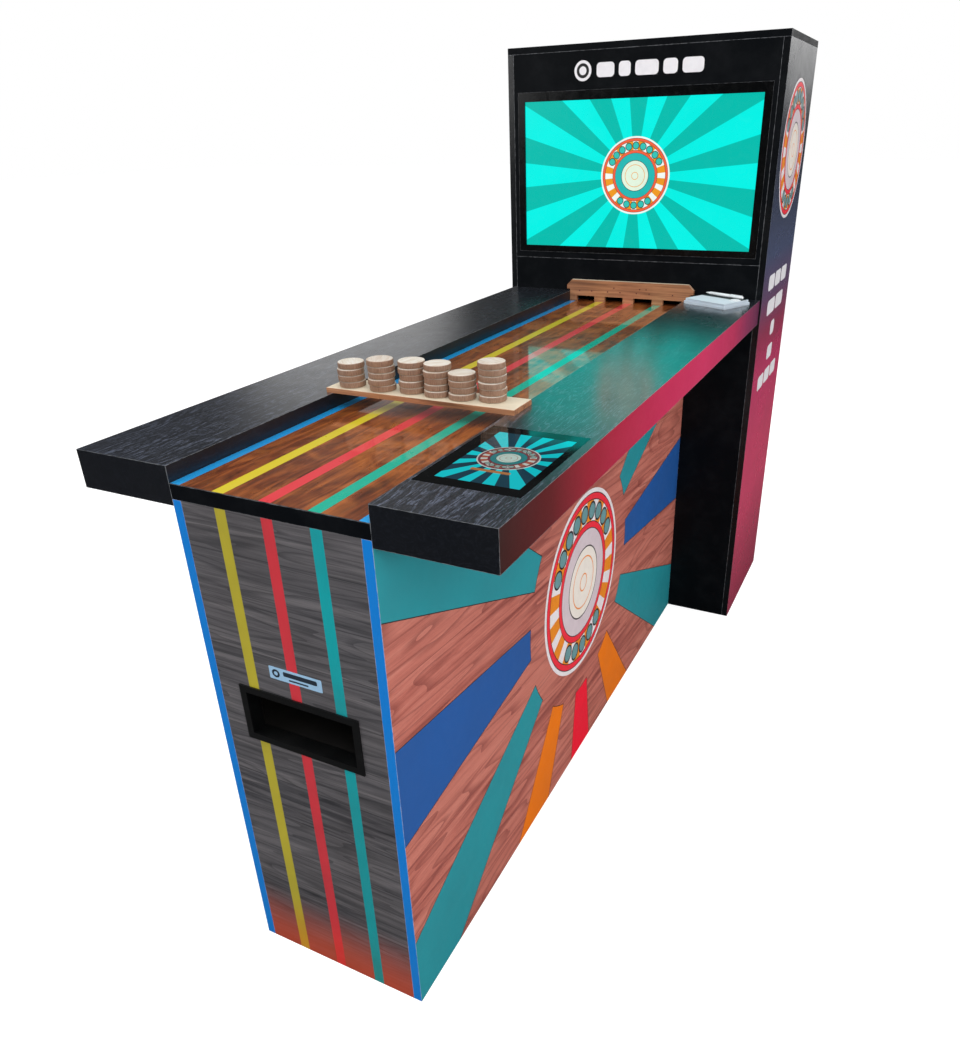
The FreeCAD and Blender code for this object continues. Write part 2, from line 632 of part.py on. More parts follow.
def make_tower():
    """Makes the boards of the tower."""
    for node, left in (("tower_left_side", f"-{HALF_TOWER}"), ("tower_right_side", INNER_TOWER)):
        board(node, (left, TOWER_FRONT, "0"), ("Sizes.board", "Sizes.tower_depth", TOWER_TOP))
    board("tower_top", (f"-{HALF_TOWER}", TOWER_FRONT, TOWER_TOP),
          (f"2 * {HALF_TOWER}", "Sizes.tower_depth", "Sizes.tower_cap"))
    board("tower_bottom", (f"-{INNER_TOWER}", f"{TOWER_FRONT} + Sizes.board", "Sizes.plinth"),
          (f"2 * {INNER_TOWER}", "Sizes.tower_depth - 2 * Sizes.board", "Sizes.board"))
    at = ("0", TOWER_FRONT, "0")
    wide = f"(2 * {INNER_TOWER})"
    passage = (f"-({HALF_LANE} + Sizes.fit_gap)", PASSAGE_BOTTOM, "(Sizes.lane_width + 2 * Sizes.fit_gap)",
               f"({PASSAGE_TOP} - {PASSAGE_BOTTOM})")
    upright_panel("tower_front_lower", at, "Sizes.board", wide, "0", "(Sizes.bezel_bottom - Sizes.board)",
                  [passage])
    window = ("-(Sizes.bezel_width / 2 + Sizes.fit_gap)", "(Sizes.bezel_bottom - Sizes.fit_gap)",
              "(Sizes.bezel_width + 2 * Sizes.fit_gap)", "(Sizes.bezel_height + 2 * Sizes.fit_gap)")
    upright_panel("tower_front_upper", at, "Sizes.board", wide, "(Sizes.bezel_bottom - Sizes.board)",
                  TOWER_TOP, [window])
    board("tower_shelf", (f"-{INNER_TOWER}", SHELF_FRONT, "Sizes.shelf_level"),
          (f"2 * {INNER_TOWER}", "Sizes.shelf_depth", "Sizes.board"))
    board("door_stop", (f"-{INNER_TOWER}", f"{DOOR_INSIDE} - Sizes.fit_gap - Sizes.stop_depth",
                        "Sizes.door_bottom"),
          ("Sizes.board", "Sizes.stop_depth", "Sizes.door_height"))


def make_display():
    """Makes the display behind its bezel, with the bars that carry it."""
    bezel = new_body("screen_bezel", ("0", TOWER_FRONT, "Sizes.bezel_bottom"))
    face = new_sketch(bezel, "bezel_face", "XZ_Plane")
    rectangle(face, "-Sizes.bezel_width / 2", "0", "Sizes.bezel_width", "Sizes.bezel_height")
    rectangle(face, "-Sizes.screen_width / 2", "Sizes.screen_border", "Sizes.screen_width",
              "Sizes.screen_height")
    pad(bezel, face, "Sizes.bezel_plate", "bezel_pad", reverse=True)
    wide = "(Sizes.screen_width + 2 * Sizes.display_margin)"
    tall = "(Sizes.screen_height + 2 * Sizes.display_margin)"
    low = "(Sizes.bezel_bottom + Sizes.screen_border - Sizes.display_margin)"
    glass_y = f"({TOWER_FRONT} + Sizes.bezel_plate)"
    board("display_glass", (f"-{wide} / 2", glass_y, low), (wide, "Sizes.display_glass", tall))
    board("display_body", (f"-{wide} / 2 - Sizes.display_margin", f"{glass_y} + Sizes.display_glass",
                           f"{low} - Sizes.display_margin"),
          (f"{wide} + 2 * Sizes.display_margin", "Sizes.display_depth",
           f"{tall} + 2 * Sizes.display_margin"))
    middle = "(Sizes.bezel_bottom + Sizes.screen_border + Sizes.screen_height / 2)"
    bars = [block(f"display_bar_{index}",
                  (f"-{INNER_TOWER}", f"{glass_y} + Sizes.display_glass + Sizes.display_depth",
                   f"{middle} {sign} Sizes.display_rail_spread - Sizes.display_rail_height / 2"),
                  (f"2 * {INNER_TOWER}", "Sizes.bracket_steel", "Sizes.display_rail_height"))
            for index, sign in enumerate("-+")]
    group("display_bars", bars)


def make_tablet():
    """Makes the tablet under its cover glass in the right armrest."""
    board("tablet_glass", (f"{TABLET_X} - Sizes.tablet_glass_width / 2",
                           f"{TABLET_Y} - Sizes.tablet_glass_length / 2",
                           f"{RAIL_TOP} - Sizes.tablet_glass"),
          ("Sizes.tablet_glass_width", "Sizes.tablet_glass_length", "Sizes.tablet_glass"))
    under = f"({RAIL_TOP} - Sizes.rail_wall)"
    board("tablet_body", (f"{TABLET_X} - Sizes.tablet_width / 2", f"{TABLET_Y} - Sizes.tablet_length / 2",
                          under),
          ("Sizes.tablet_width", "Sizes.tablet_length", "Sizes.rail_wall - Sizes.tablet_glass"))
    straps = [block(f"tablet_strap_{index}",
                    (f"{HALF_LANE} + Sizes.rail_wall + Sizes.fit_gap",
                     f"{TABLET_Y} {sign} Sizes.strap_spread - Sizes.strap_width / 2",
                     f"{under} - Sizes.strap_steel"),
                    ("Sizes.rail_width - 2 * Sizes.rail_wall - 2 * Sizes.fit_gap", "Sizes.strap_width",
                     "Sizes.strap_steel"))
              for index, sign in enumerate("-+")]
    group("tablet_straps", straps)


def make_rear():
    """Makes the fixed rear panels, the door between them, its hinges and its lock."""
    at = ("0", DOOR_INSIDE, "0")
    wide = f"(2 * {INNER_TOWER})"
    inlet_gap = "Sizes.fit_gap"
    inlet_hole = (f"({INLET_X} - Sizes.inlet_width / 2 + Sizes.inlet_flange - {inlet_gap})",
                  f"(Sizes.inlet_level + Sizes.inlet_flange - {inlet_gap})",
                  f"(Sizes.inlet_width - 2 * Sizes.inlet_flange + 2 * {inlet_gap})",
                  f"(Sizes.inlet_height - 2 * Sizes.inlet_flange + 2 * {inlet_gap})")
    upright_panel("rear_lower_panel", at, "Sizes.board", wide, "0", "(Sizes.door_bottom - Sizes.door_gap)",
                  [inlet_hole])
    board("rear_upper_panel", (f"-{INNER_TOWER}", DOOR_INSIDE, f"{DOOR_TOP} + Sizes.door_gap"),
          (f"2 * {INNER_TOWER}", "Sizes.board", f"{TOWER_TOP} - {DOOR_TOP} - Sizes.door_gap"))
    count = int(size("vent_count"))
    step = "(2 * Sizes.vent_height)"
    vents = [("-Sizes.vent_width / 2", f"({FAN_Z} + ({index} - {count} / 2) * {step})",
              "Sizes.vent_width", "Sizes.vent_height") for index in range(count)]
    door = upright_panel("rear_door", at, "Sizes.board", f"(2 * {HALF_DOOR})", "Sizes.door_bottom",
                         DOOR_TOP, vents)
    bore = new_sketch(door, "lock_bore_face", "XZ_Plane")
    circle(bore, LOCK_X, LOCK_Z, "(Sizes.lock_radius + Sizes.pin_play)")
    pocket(door, bore, "Sizes.board", "lock_bore")
    fixed = []
    moving = []
    pins = []
    for index, low in enumerate(("Sizes.hinge_low", "(Sizes.hinge_low + Sizes.hinge_spread)")):
        bottom = f"({low} - Sizes.hinge_height / 2)"
        third = "(Sizes.hinge_height / 3)"
        ends = [(bottom, f"{third} - Sizes.knuckle_gap"),
                (f"{bottom} + 2 * {third} + Sizes.knuckle_gap", f"{third} - Sizes.knuckle_gap")]
        fixed.append(hinge_half(f"fixed_hinge_{index}", 1, bottom, ends))
        moving.append(hinge_half(f"door_hinge_{index}", -1, bottom, [(f"{bottom} + {third}", third)]))
        pins.append(rod(f"hinge_pin_{index}", (HINGE_X, HINGE_Y, bottom), "Sizes.hinge_pin_radius",
                        "Sizes.hinge_height"))
    group("hinge_leaves_fixed", fixed)
    group("hinge_leaves_door", moving)
    group("hinge_pins", pins)


def hinge_half(name, side, bottom, knuckles):
    """Makes half a butt hinge: a leaf to the right (1) or left (-1) of the pin, and its knuckles."""
    clear = "(Sizes.knuckle_radius + Sizes.knuckle_gap)"
    wide = f"(Sizes.board - Sizes.door_gap / 2 - {clear})" if side > 0 else "Sizes.hinge_leaf_width"
    left = f"({HINGE_X} + {clear})" if side > 0 else f"({HINGE_X} - {clear} - {wide})"
    pieces = [block(name + "_leaf", (left, TOWER_BACK, bottom), (wide, "Sizes.hinge_leaf",
                                                                 "Sizes.hinge_height"))]
    bores = []
    for index, (low, height) in enumerate(knuckles):
        tab_left = HINGE_X if side > 0 else f"({HINGE_X} - {clear})"
        pieces.append(block(f"{name}_tab_{index}", (tab_left, TOWER_BACK, low),
                            (clear, "Sizes.hinge_leaf", height)))
        pieces.append(rod(f"{name}_knuckle_{index}", (HINGE_X, HINGE_Y, low), "Sizes.knuckle_radius",
                          height))
        bores.append(rod(f"{name}_bore_{index}", (HINGE_X, HINGE_Y, f"{low} - 1"),
                         "Sizes.hinge_pin_radius + Sizes.pin_play", f"{height} + 2"))
    return cut(name, fuse(name + "_solid", pieces), bores)


def make_lock():
    """Makes the cam lock: a barrel fixed in the door, and the plug and cam that the key turns."""
    barrel = fuse("lock_barrel_solid", [
        rod("lock_barrel_tube", (LOCK_X, f"{TOWER_BACK} - Sizes.lock_length", LOCK_Z),
            "Sizes.lock_radius", "Sizes.lock_length", along="y"),
        rod("lock_barrel_flange", (LOCK_X, TOWER_BACK, LOCK_Z), "Sizes.lock_flange_radius",
            "Sizes.lock_flange", along="y")])
    bore = rod("lock_barrel_bore", (LOCK_X, f"{TOWER_BACK} - Sizes.lock_length - 1", LOCK_Z),
               "Sizes.plug_radius + Sizes.pin_play", "Sizes.lock_length + Sizes.lock_flange + 2", along="y")
    keep(cut("lock_barrel", barrel, [bore]), "lock_barrel")
    tail = f"({DOOR_INSIDE} - Sizes.fit_gap - Sizes.stop_depth - Sizes.cam_clearance)"
    plug = rod("lock_plug_rod", (LOCK_X, tail, LOCK_Z), "Sizes.plug_radius",
               f"{TOWER_BACK} + Sizes.lock_flange - {tail}", along="y")
    keyway = block("lock_keyway", (f"{LOCK_X} - 0.8", f"{TOWER_BACK} - Sizes.lock_length / 2",
                                   f"{LOCK_Z} - Sizes.plug_radius * 0.7"),
                   ("1.6", "Sizes.lock_length", "Sizes.plug_radius * 1.4"))
    keep(cut("lock_plug", plug, [keyway]), "lock_plug")
    hub = rod("lock_cam_hub", (LOCK_X, f"{tail} - Sizes.cam_plate", LOCK_Z), "Sizes.cam_width / 2 + 1",
              "Sizes.cam_plate", along="y")
    tongue = block("lock_cam_tongue", (f"{LOCK_X} - Sizes.cam_width / 2", f"{tail} - Sizes.cam_plate",
                                       f"{LOCK_Z} - Sizes.cam_length"),
                   ("Sizes.cam_width", "Sizes.cam_plate", "Sizes.cam_length"))
    keep(fuse("lock_cam", [hub, tongue]), "lock_cam")


def make_fan():
    """Makes the extraction fan inside the door: a frame with its motor boss and shaft, and the rotor."""
    half = "(Sizes.fan_size / 2)"
    outside = f"({DOOR_INSIDE} - Sizes.fan_depth)"
    square = block("fan_square", (f"-{half}", outside, f"{FAN_Z} - {half}"),
                   ("Sizes.fan_size", "Sizes.fan_depth", "Sizes.fan_size"))
    bore = rod("fan_bore", ("0", f"{outside} - 1", FAN_Z), FAN_BORE, "Sizes.fan_depth + 2", along="y")
    boss_y = f"({DOOR_INSIDE} - Sizes.fan_boss)"
    struts = [block("fan_strut_across", (f"-{half}", boss_y, f"{FAN_Z} - Sizes.fan_boss"),
                    ("Sizes.fan_size", "Sizes.fan_boss", "2 * Sizes.fan_boss")),
              block("fan_strut_up", ("-Sizes.fan_boss", boss_y, f"{FAN_Z} - {half}"),
                    ("2 * Sizes.fan_boss", "Sizes.fan_boss", "Sizes.fan_size"))]
    boss = rod("fan_boss", ("0", boss_y, FAN_Z), "Sizes.fan_boss_radius", "Sizes.fan_boss", along="y")
    shaft_length = "(Sizes.fan_depth - Sizes.fan_boss)"
    shaft = rod("fan_shaft", ("0", f"{boss_y} - {shaft_length} + 2", FAN_Z), "Sizes.hinge_pin_radius",
                shaft_length, along="y")
    keep(fuse("fan_frame", [cut("fan_ring", square, [bore]), *struts, boss, shaft]), "fan_frame")
    hub_length = f"({shaft_length} - 2 * Sizes.knuckle_gap)"
    hub_y = f"({outside} + Sizes.knuckle_gap)"
    blades = [fan_blade(index, hub_y, hub_length) for index in range(7)]
    hub = rod("fan_hub", ("0", hub_y, FAN_Z), "Sizes.fan_hub_radius", hub_length, along="y")
    hole = rod("fan_hub_bore", ("0", f"{hub_y} + 1.5", FAN_Z), "Sizes.hinge_pin_radius + Sizes.pin_play",
               "Sizes.fan_depth", along="y")
    keep(cut("fan_rotor", fuse("fan_rotor_solid", [hub, *blades]), [hole]), "fan_rotor")


def fan_blade(index, hub_y, hub_length):
    """Makes one pitched blade of the rotor, turned to its place about the shaft."""
    pitch = 35.0
    turn = FreeCAD.Rotation(FreeCAD.Vector(0, 1, 0), 360.0 / 7 * index)
    twist = FreeCAD.Rotation(FreeCAD.Vector(1, 0, 0), pitch)
    width = size("fan_depth") * 0.62
    corner = turn.multiply(twist).multVec(FreeCAD.Vector(0, -width / 2, -0.8))
    item = block(f"fan_blade_{index}", ("0", "0", "0"),
                 (f"{FAN_BORE} - Sizes.fan_tip_gap", "Sizes.fan_depth * 0.62", "1.6"))
    item.Placement = FreeCAD.Placement(FreeCAD.Vector(), turn.multiply(twist))
    return place(item, (str(corner.x), f"{hub_y} + {hub_length} / 2 + {corner.y}", f"{FAN_Z} + {corner.z}"))


def make_electrics():
    """Makes the computer, its supply, the mains inlet and the power switch."""
    board("game_computer", ("-Sizes.computer_width / 2", f"{SHELF_FRONT} + Sizes.ply", SHELF_TOP),
          ("Sizes.computer_width", "Sizes.computer_depth", "Sizes.computer_height"))
    board("power_supply", ("Sizes.computer_width / 2 + Sizes.batten", f"{SHELF_FRONT} + Sizes.batten",
                           SHELF_TOP),
          ("Sizes.supply_width", "Sizes.supply_depth", "Sizes.supply_height"))
    left = f"({INLET_X} - Sizes.inlet_width / 2)"
    face_y = f"({TOWER_BACK} + Sizes.inlet_flange)"
    flange = block("inlet_flange", (left, TOWER_BACK, "Sizes.inlet_level"),
                   ("Sizes.inlet_width", "Sizes.inlet_flange", "Sizes.inlet_height"))
    body = block("inlet_body", (f"{left} + Sizes.inlet_flange", f"{TOWER_BACK} - Sizes.inlet_depth",
                                "Sizes.inlet_level + Sizes.inlet_flange"),
                 ("Sizes.inlet_width - 2 * Sizes.inlet_flange", "Sizes.inlet_depth",
                  "Sizes.inlet_height - 2 * Sizes.inlet_flange"))
    socket_z = "(Sizes.inlet_level + Sizes.inlet_flange * 1.5)"
    socket = block("inlet_socket", (f"{INLET_X} - (Sizes.socket_width - 2) / 2",
                                    f"{face_y} - Sizes.socket_depth", socket_z),
                   ("Sizes.socket_width - 2", "Sizes.socket_depth + 1", "Sizes.socket_height"))
    half_length = "(Sizes.rocker_length / 2 + 0.8)"
    half_width = "(Sizes.rocker_width / 2 + 0.5)"
    well = block("rocker_well", (f"{INLET_X} - {half_length}", f"{face_y} - Sizes.rocker_width",
                                 f"{ROCKER_Z} - {half_width}"),
                 (f"2 * {half_length}", "Sizes.rocker_width + 1", f"2 * {half_width}"))
    axle_length = "(Sizes.rocker_width + 2 * Sizes.rocker_axle_reach)"
    pivot_bore = rod("rocker_pivot_bore", (INLET_X, f"{face_y} - 5", f"{ROCKER_Z} - {axle_length} / 2"),
                     "Sizes.rocker_pivot_radius + Sizes.pin_play", axle_length)
    housing = cut("inlet_housing", fuse("inlet_solid", [flange, body]), [socket, well, pivot_bore])
    blades = [block(f"inlet_blade_{index}", (f"{INLET_X} + {shift} - 1", f"{face_y} - Sizes.socket_depth",
                                             f"{socket_z} + {up}"), ("2", "Sizes.socket_depth - 5", "4"))
              for index, (shift, up) in enumerate(((-6, 3.5), (0, 8.5), (6, 3.5)))]
    group("mains_inlet", [housing, *blades])
    paddle = block("rocker_paddle", ("-Sizes.rocker_length / 2", "-3", "-Sizes.rocker_width / 2"),
                   ("Sizes.rocker_length", "7", "Sizes.rocker_width"))
    axle = rod("rocker_axle", ("0", "0", f"0.2 - {axle_length} / 2"), "Sizes.rocker_pivot_radius",
               f"{axle_length} - 0.4")
    rocker = keep(fuse("power_rocker", [paddle, axle]), "power_rocker")
    rocker.Placement = FreeCAD.Placement(FreeCAD.Vector(),
                                         FreeCAD.Rotation(FreeCAD.Vector(0, 0, 1), -size("rocker_tilt")))
    place(rocker, (INLET_X, f"{face_y} - 5", ROCKER_Z))


def make_pucks():
    """Makes the bar across the armrests and the stacks of pucks on it."""
    bar = new_body("puck_bar", ("0", BAR_FRONT, RAIL_TOP))
    face = new_sketch(bar, "bar_face", "XY_Plane")
    rectangle(face, f"-{BAR_LENGTH} / 2", "0", BAR_LENGTH, "Sizes.bar_depth")
    solid = pad(bar, face, "Sizes.bar_thickness", "bar_pad")
    doc.recompute()
    ease = bar.newObject("PartDesign::Fillet", "bar_ease")
    ease.Base = (solid, [f"Edge{index + 1}" for index, edge in enumerate(solid.Shape.Edges)
                         if edge.CenterOfMass.z > size("bar_thickness") - 0.01])
    ease.setExpression("Radius", "Sizes.bar_ease")
    holes = new_sketch(bar, "bar_holes", "XY_Plane")
    for before, after in zip(STACKS, STACKS[1:]):
        circle(holes, str((before[0] + after[0]) / 2), "(Sizes.bar_depth - 2.4 * Sizes.bar_hole_radius)",
               "Sizes.bar_hole_radius")
    pocket(bar, holes, "Sizes.bar_thickness", "bar_hole_cut", reverse=True)
    bar.Tip = bar.Group[-1]
    for number_of_stack, (across, back, count) in enumerate(STACKS, start=1):
        discs = []
        for level in range(count):
            sway = math.sin(2.4 * level + number_of_stack)
            disc = rod(f"puck_{number_of_stack}_{level}",
                       (f"{across} + {0.4 * sway:.3f}", f"{BAR_FRONT} + {back} + {1.6 * sway:.3f}",
                        f"{BAR_TOP} + {level} * Sizes.puck_thickness"),
                       "Sizes.puck_radius", "Sizes.puck_thickness")
            eased = doc.addObject("Part::Fillet", f"eased_puck_{number_of_stack}_{level}")
            eased.Base = disc
            eased.Edges = [(edge, size("puck_ease"), size("puck_ease")) for edge in (1, 3)]
            discs.append(eased)
        group(f"puck_stack_{number_of_stack}", discs)


def make_score_pads():
    """Makes the two score pads on the right armrest, the band round them and the pen on top."""
    turn = FreeCAD.Rotation(FreeCAD.Vector(0, 0, 1), size("pad_turn"))
    middle = (f"{HALF_LANE} + Sizes.pad_inset", f"{TOWER_FRONT} - Sizes.pad_back")

    def on_pad(name, along, back, lift, extent):
        corner = turn.multVec(FreeCAD.Vector(along, back, 0))
        item = block(name, ("0", "0", "0"), extent)
        item.Placement = FreeCAD.Placement(FreeCAD.Vector(), turn)
        return place(item, (f"{middle[0]} + {corner.x:.4f}", f"{middle[1]} + {corner.y:.4f}",
                            f"{RAIL_TOP} + {lift}"))

    length = size("pad_length")
    width = size("pad_width")
    lower = on_pad("lower_pad", -length / 2, -width / 2, "0",
                   ("Sizes.pad_length", "Sizes.pad_width", "Sizes.pad_thickness"))
    upper = on_pad("upper_pad", -length / 2 + 2, -width / 2 + 3, "Sizes.pad_thickness",
                   ("Sizes.pad_length - 5", "Sizes.pad_width - 6", "Sizes.pad_thickness"))
    binding = on_pad("pad_binding", -length / 2 + 6, width / 2 - 34, "2 * Sizes.pad_thickness",
                     ("Sizes.pad_length - 13", "20", "1.5"))
    group("score_pads", [lower, upper, binding])
    start = turn.multVec(FreeCAD.Vector(-size("pen_length") / 2, width / 2 - 24, 0))
    pen = doc.addObject("Part::Cylinder", "pen")
    pen.setExpression("Radius", "Sizes.pen_radius")
    pen.setExpression("Height", "Sizes.pen_length")
    pen.Placement = FreeCAD.Placement(
        FreeCAD.Vector(), turn.multiply(FreeCAD.Rotation(FreeCAD.Vector(0, 1, 0), 90)))
    keep(place(pen, (f"{middle[0]} + {start.x:.4f}", f"{middle[1]} + {start.y:.4f}",
                     f"{RAIL_TOP} + 2 * Sizes.pad_thickness + 1.5 + Sizes.pen_radius")), "pen")


def check_and_export():
    """Stops at any failed object or bad shape, then writes each sub-part to its own file."""
    doc.recompute()
    failed = [item.Name for item in doc.Objects if "Invalid" in item.State or "Error" in item.State]
    if failed:
        raise RuntimeError(f"objects that failed: {failed}")
    for item in sub_parts:
        if item.Shape.isNull() or not item.Shape.isValid() or not item.Shape.Solids:
            raise RuntimeError(f"no valid solid in {item.Label}")
    os.makedirs("parts", exist_ok=True)
    for item in sub_parts:
        item.Shape.exportStep(os.path.join("parts", item.Label + ".step"))
    print(len(sub_parts), "nodes written")


make_base()
make_lane()
make_rails()
make_puck_return()
make_gates()
make_tower()
make_display()
make_tablet()
make_rear()
make_lock()
make_fan()
make_electrics()
make_pucks()
make_score_pads()
check_and_export()
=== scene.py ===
"""Looks of an arcade shuffleboard table: printed boards, glossy lane, lit display, pucks and score pads."""
import json
import logging
import math
import random
from dataclasses import dataclass, field
from enum import Enum
from typing import Any, Sequence

import bpy
from mathutils import Matrix, Vector


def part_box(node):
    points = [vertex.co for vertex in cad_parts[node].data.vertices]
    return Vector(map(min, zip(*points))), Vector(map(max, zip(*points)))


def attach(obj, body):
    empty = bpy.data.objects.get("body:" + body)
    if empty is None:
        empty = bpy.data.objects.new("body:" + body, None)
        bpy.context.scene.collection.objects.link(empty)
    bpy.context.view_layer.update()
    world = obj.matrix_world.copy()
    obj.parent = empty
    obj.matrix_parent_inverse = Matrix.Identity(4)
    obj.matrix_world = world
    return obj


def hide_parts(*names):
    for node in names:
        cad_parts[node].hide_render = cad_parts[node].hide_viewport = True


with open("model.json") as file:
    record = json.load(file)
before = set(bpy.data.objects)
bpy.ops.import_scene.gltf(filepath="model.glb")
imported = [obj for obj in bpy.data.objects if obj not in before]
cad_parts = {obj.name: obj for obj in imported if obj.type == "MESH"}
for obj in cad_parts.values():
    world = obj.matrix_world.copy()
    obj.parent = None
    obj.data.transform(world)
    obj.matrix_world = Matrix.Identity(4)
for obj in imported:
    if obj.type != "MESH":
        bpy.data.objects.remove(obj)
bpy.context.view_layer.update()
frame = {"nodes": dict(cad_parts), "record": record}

LOG = logging.getLogger("shuffleboard")
MM = 0.001
Colour = tuple[float, float, float, float]
Material = bpy.types.Material
Piece = bpy.types.Object
Socket = bpy.types.NodeSocket
Pair = tuple[float, float]
Fade = tuple[tuple[float, str], ...]

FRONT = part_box("lane_nosing")[0][1]
HALF_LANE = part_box("lane_board")[1][0]
HALF_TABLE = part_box("right_rail_shell")[1][0]
TOWER_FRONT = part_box("tower_front_upper")[0][1]
TOWER_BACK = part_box("tower_right_side")[1][1]
HALF_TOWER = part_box("tower_right_side")[1][0]
TOWER_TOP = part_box("tower_top")[1][2]


def linear(code: str) -> Colour:
    """Turns an sRGB hex code into a linear colour.

    Args:
        code: Six hex digits with a leading hash.

    Returns:
        Linear red, green, blue and an alpha of 1.
    """
    parts = [int(code[place:place + 2], 16) / 255 for place in (1, 3, 5)]
    red, green, blue = (part / 12.92 if part <= 0.04045 else ((part + 0.055) / 1.055) ** 2.4
                        for part in parts)
    return red, green, blue, 1.0


class Nodes:
    """The shader nodes of a material or of the surroundings."""

    def __init__(self, tree: bpy.types.NodeTree) -> None:
        """Takes the tree that gets the nodes."""
        self.tree = tree

    def add(self, kind: str, links: Any = (), out: int | str = 0, **named: Any) -> Socket:
        """Adds a shader node with its settings and links.

        Args:
            kind: The node's type without its ShaderNode prefix, and its operation after a point.
            links: Inputs in order, or by index or name, each a socket to join or a value to set.
            out: The output that is returned.
            named: More inputs by name, which start with a capital, and the node's own settings.

        Returns:
            One output socket of the new node.
        """
        kind, _, operation = kind.partition(".")
        node = self.tree.nodes.new("ShaderNode" + kind)
        if operation:
            node.operation = operation
        for name in [name for name in named if name.islower()]:
            setattr(node, name, named.pop(name))
        pairs = dict(links) if isinstance(links, dict) else dict(enumerate(links))
        for name, value in (pairs | named).items():
            if isinstance(value, Socket):
                self.tree.links.new(value, node.inputs[name])
            else:
                node.inputs[name].default_value = value
        return node.outputs[out]

    def axes(self, vector: Socket) -> list[Socket]:
        """Returns the three parts of a vector."""
        return list(self.add("SeparateXYZ", (vector,)).node.outputs)

    def near(self, value: Socket, centre: float, half: float, soft: float = 0.4 * MM) -> Socket:
        """Masks a stripe: 1 where the value is within half of the centre, with a soft edge."""
        size = self.add("Math.ABSOLUTE", (self.add("Math.SUBTRACT", (value, centre)),))
        return self.add("MapRange", (size, half - soft, half + soft, 1.0, 0.0))

    def under_skin(self, value: Socket, half: float) -> Socket:
        """Masks what lies more than half a millimetre inside a board's outer face."""
        size = self.add("Math.ABSOLUTE", (value,))
        return self.add("MapRange", (size, half - 0.6 * MM, half - 0.4 * MM, 1.0, 0.0))

    def paint(self, ground: Any, *layers: tuple[Any, Any]) -> Socket:
        """Lays colours over a ground, one mask after another.

        Args:
            ground: The socket, colour or hex code that lies lowest.
            layers: Pairs of a mask and a socket, colour or hex code.

        Returns:
            The colour of the last layer.
        """
        for mask, colour in layers:
            below, above = (linear(each) if isinstance(each, str) else each for each in (ground, colour))
            ground = self.add("Mix", {0: mask, 6: below, 7: above}, 2, data_type="RGBA")
        return ground

    def ramp(self, value: Socket, stops: Fade, change: str = "LINEAR") -> Socket:
        """Turns a value from 0 to 1 into the colours of a scale.

        Args:
            value: The value.
            stops: Places from 0 to 1, each with its hex colour.
            change: How one colour becomes the next.

        Returns:
            The colour.
        """
        colour = self.add("ValToRGB", (value,))
        scale = colour.node.color_ramp
        scale.interpolation = change
        while len(scale.elements) < len(stops):
            scale.elements.new(0.5)
        for element, (place, code) in zip(scale.elements, stops):
            element.position = place
            element.color = linear(code)
        return colour

    def stretch(self, place: Socket, across_mm: float, along_mm: float, axis: int) -> Socket:
        """Scales a place so that one unit is one streak across and along the grain.

        Args:
            place: The place.
            across_mm: A streak's width.
            along_mm: A streak's length.
            axis: The axis of the grain.

        Returns:
            The scaled place.
        """
        scales = [1.0 / (across_mm * MM)] * 3
        scales[axis] = 1.0 / (along_mm * MM)
        return self.add("VectorMath.MULTIPLY", (place, tuple(scales)))


class Surface(Nodes):
    """A material in the making, on one piece."""

    def __init__(self, name: str, node: str = "", **inputs: float) -> None:
        """Starts the material, with what is the same all over it set on its shader.

        Args:
            name: The name.
            node: The CAD piece's name.
            inputs: Shader inputs, with underscores for spaces.
        """
        self.material = bpy.data.materials.new(name)
        self.material.use_nodes = True
        super().__init__(self.material.node_tree)
        self.shader = self.tree.nodes["Principled BSDF"]
        self.node = node
        self.place = self.add("TexCoord", out="Object")
        self.set(**inputs)

    def set(self, **inputs: float) -> None:
        """Sets shader inputs, with underscores for spaces."""
        for name, value in inputs.items():
            self.shader.inputs[name.replace("_", " ")].default_value = value

    def join(self, name: str, value: Socket) -> None:
        """Joins a socket to one of the shader's inputs."""
        self.tree.links.new(value, self.shader.inputs[name])

    def mottle(self, reach: Sequence[float], place: Socket | None = None, **noise: float) -> Socket:
        """Draws soft patches.

        Args:
            reach: Two levels of the noise, and the two values that they become.
            place: The position, or None for the place on the piece.
            noise: The noise's inputs. Its Scale is in patches to the metre.

        Returns:
            The value.
        """
        patches = self.add("TexNoise", Vector=self.place if place is None else place, **noise)
        return self.add("MapRange", (patches, *reach))

    def level(self, reach: Sequence[float], both: bool = False) -> Socket:
        """Masks by how far a face looks up, or with both also down: two slopes and their two values.

        Args:
            reach: Two slopes and their two values.
            both: Whether a face that looks down counts too.

        Returns:
            The mask.
        """
        slope = self.axes(self.add("NewGeometry", out="Normal"))[2]
        if both:
            slope = self.add("Math.ABSOLUTE", (slope,))
        return self.add("MapRange", (slope, *reach))

    def edge_wear_and_highlight(self, width_mm: float, amount: float) -> Socket:
        """Masks the thin broken light line along a board's edges: partly rubbed wear, partly a painted edge
        highlight that stands in for the sheen of the edges.

        The middle one of the distances to the faces of the board's box is the distance to its nearest edge.

        Args:
            width_mm: The line's greatest width.
            amount: The mask's value on the line.

        Returns:
            The mask.
        """
        low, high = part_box(self.node)
        centred = self.add("VectorMath.SUBTRACT", (self.place, tuple((low + high) / 2)))
        size = self.add("VectorMath.ABSOLUTE", (centred,))
        first, second, third = self.axes(self.add("VectorMath.SUBTRACT", (tuple((high - low) / 2), size)))
        less = self.add("Math.MINIMUM", (first, second))
        more = self.add("Math.MAXIMUM", (first, second))
        distance = self.add("Math.MAXIMUM", (less, self.add("Math.MINIMUM", (more, third))))
        width = width_mm * MM
        reach = self.mottle((0.35, 0.7, width * 0.2, width), Scale=90.0, Detail=4.0)
        return self.add("Math.MULTIPLY", (self.add("Math.LESS_THAN", (distance, reach)), amount))


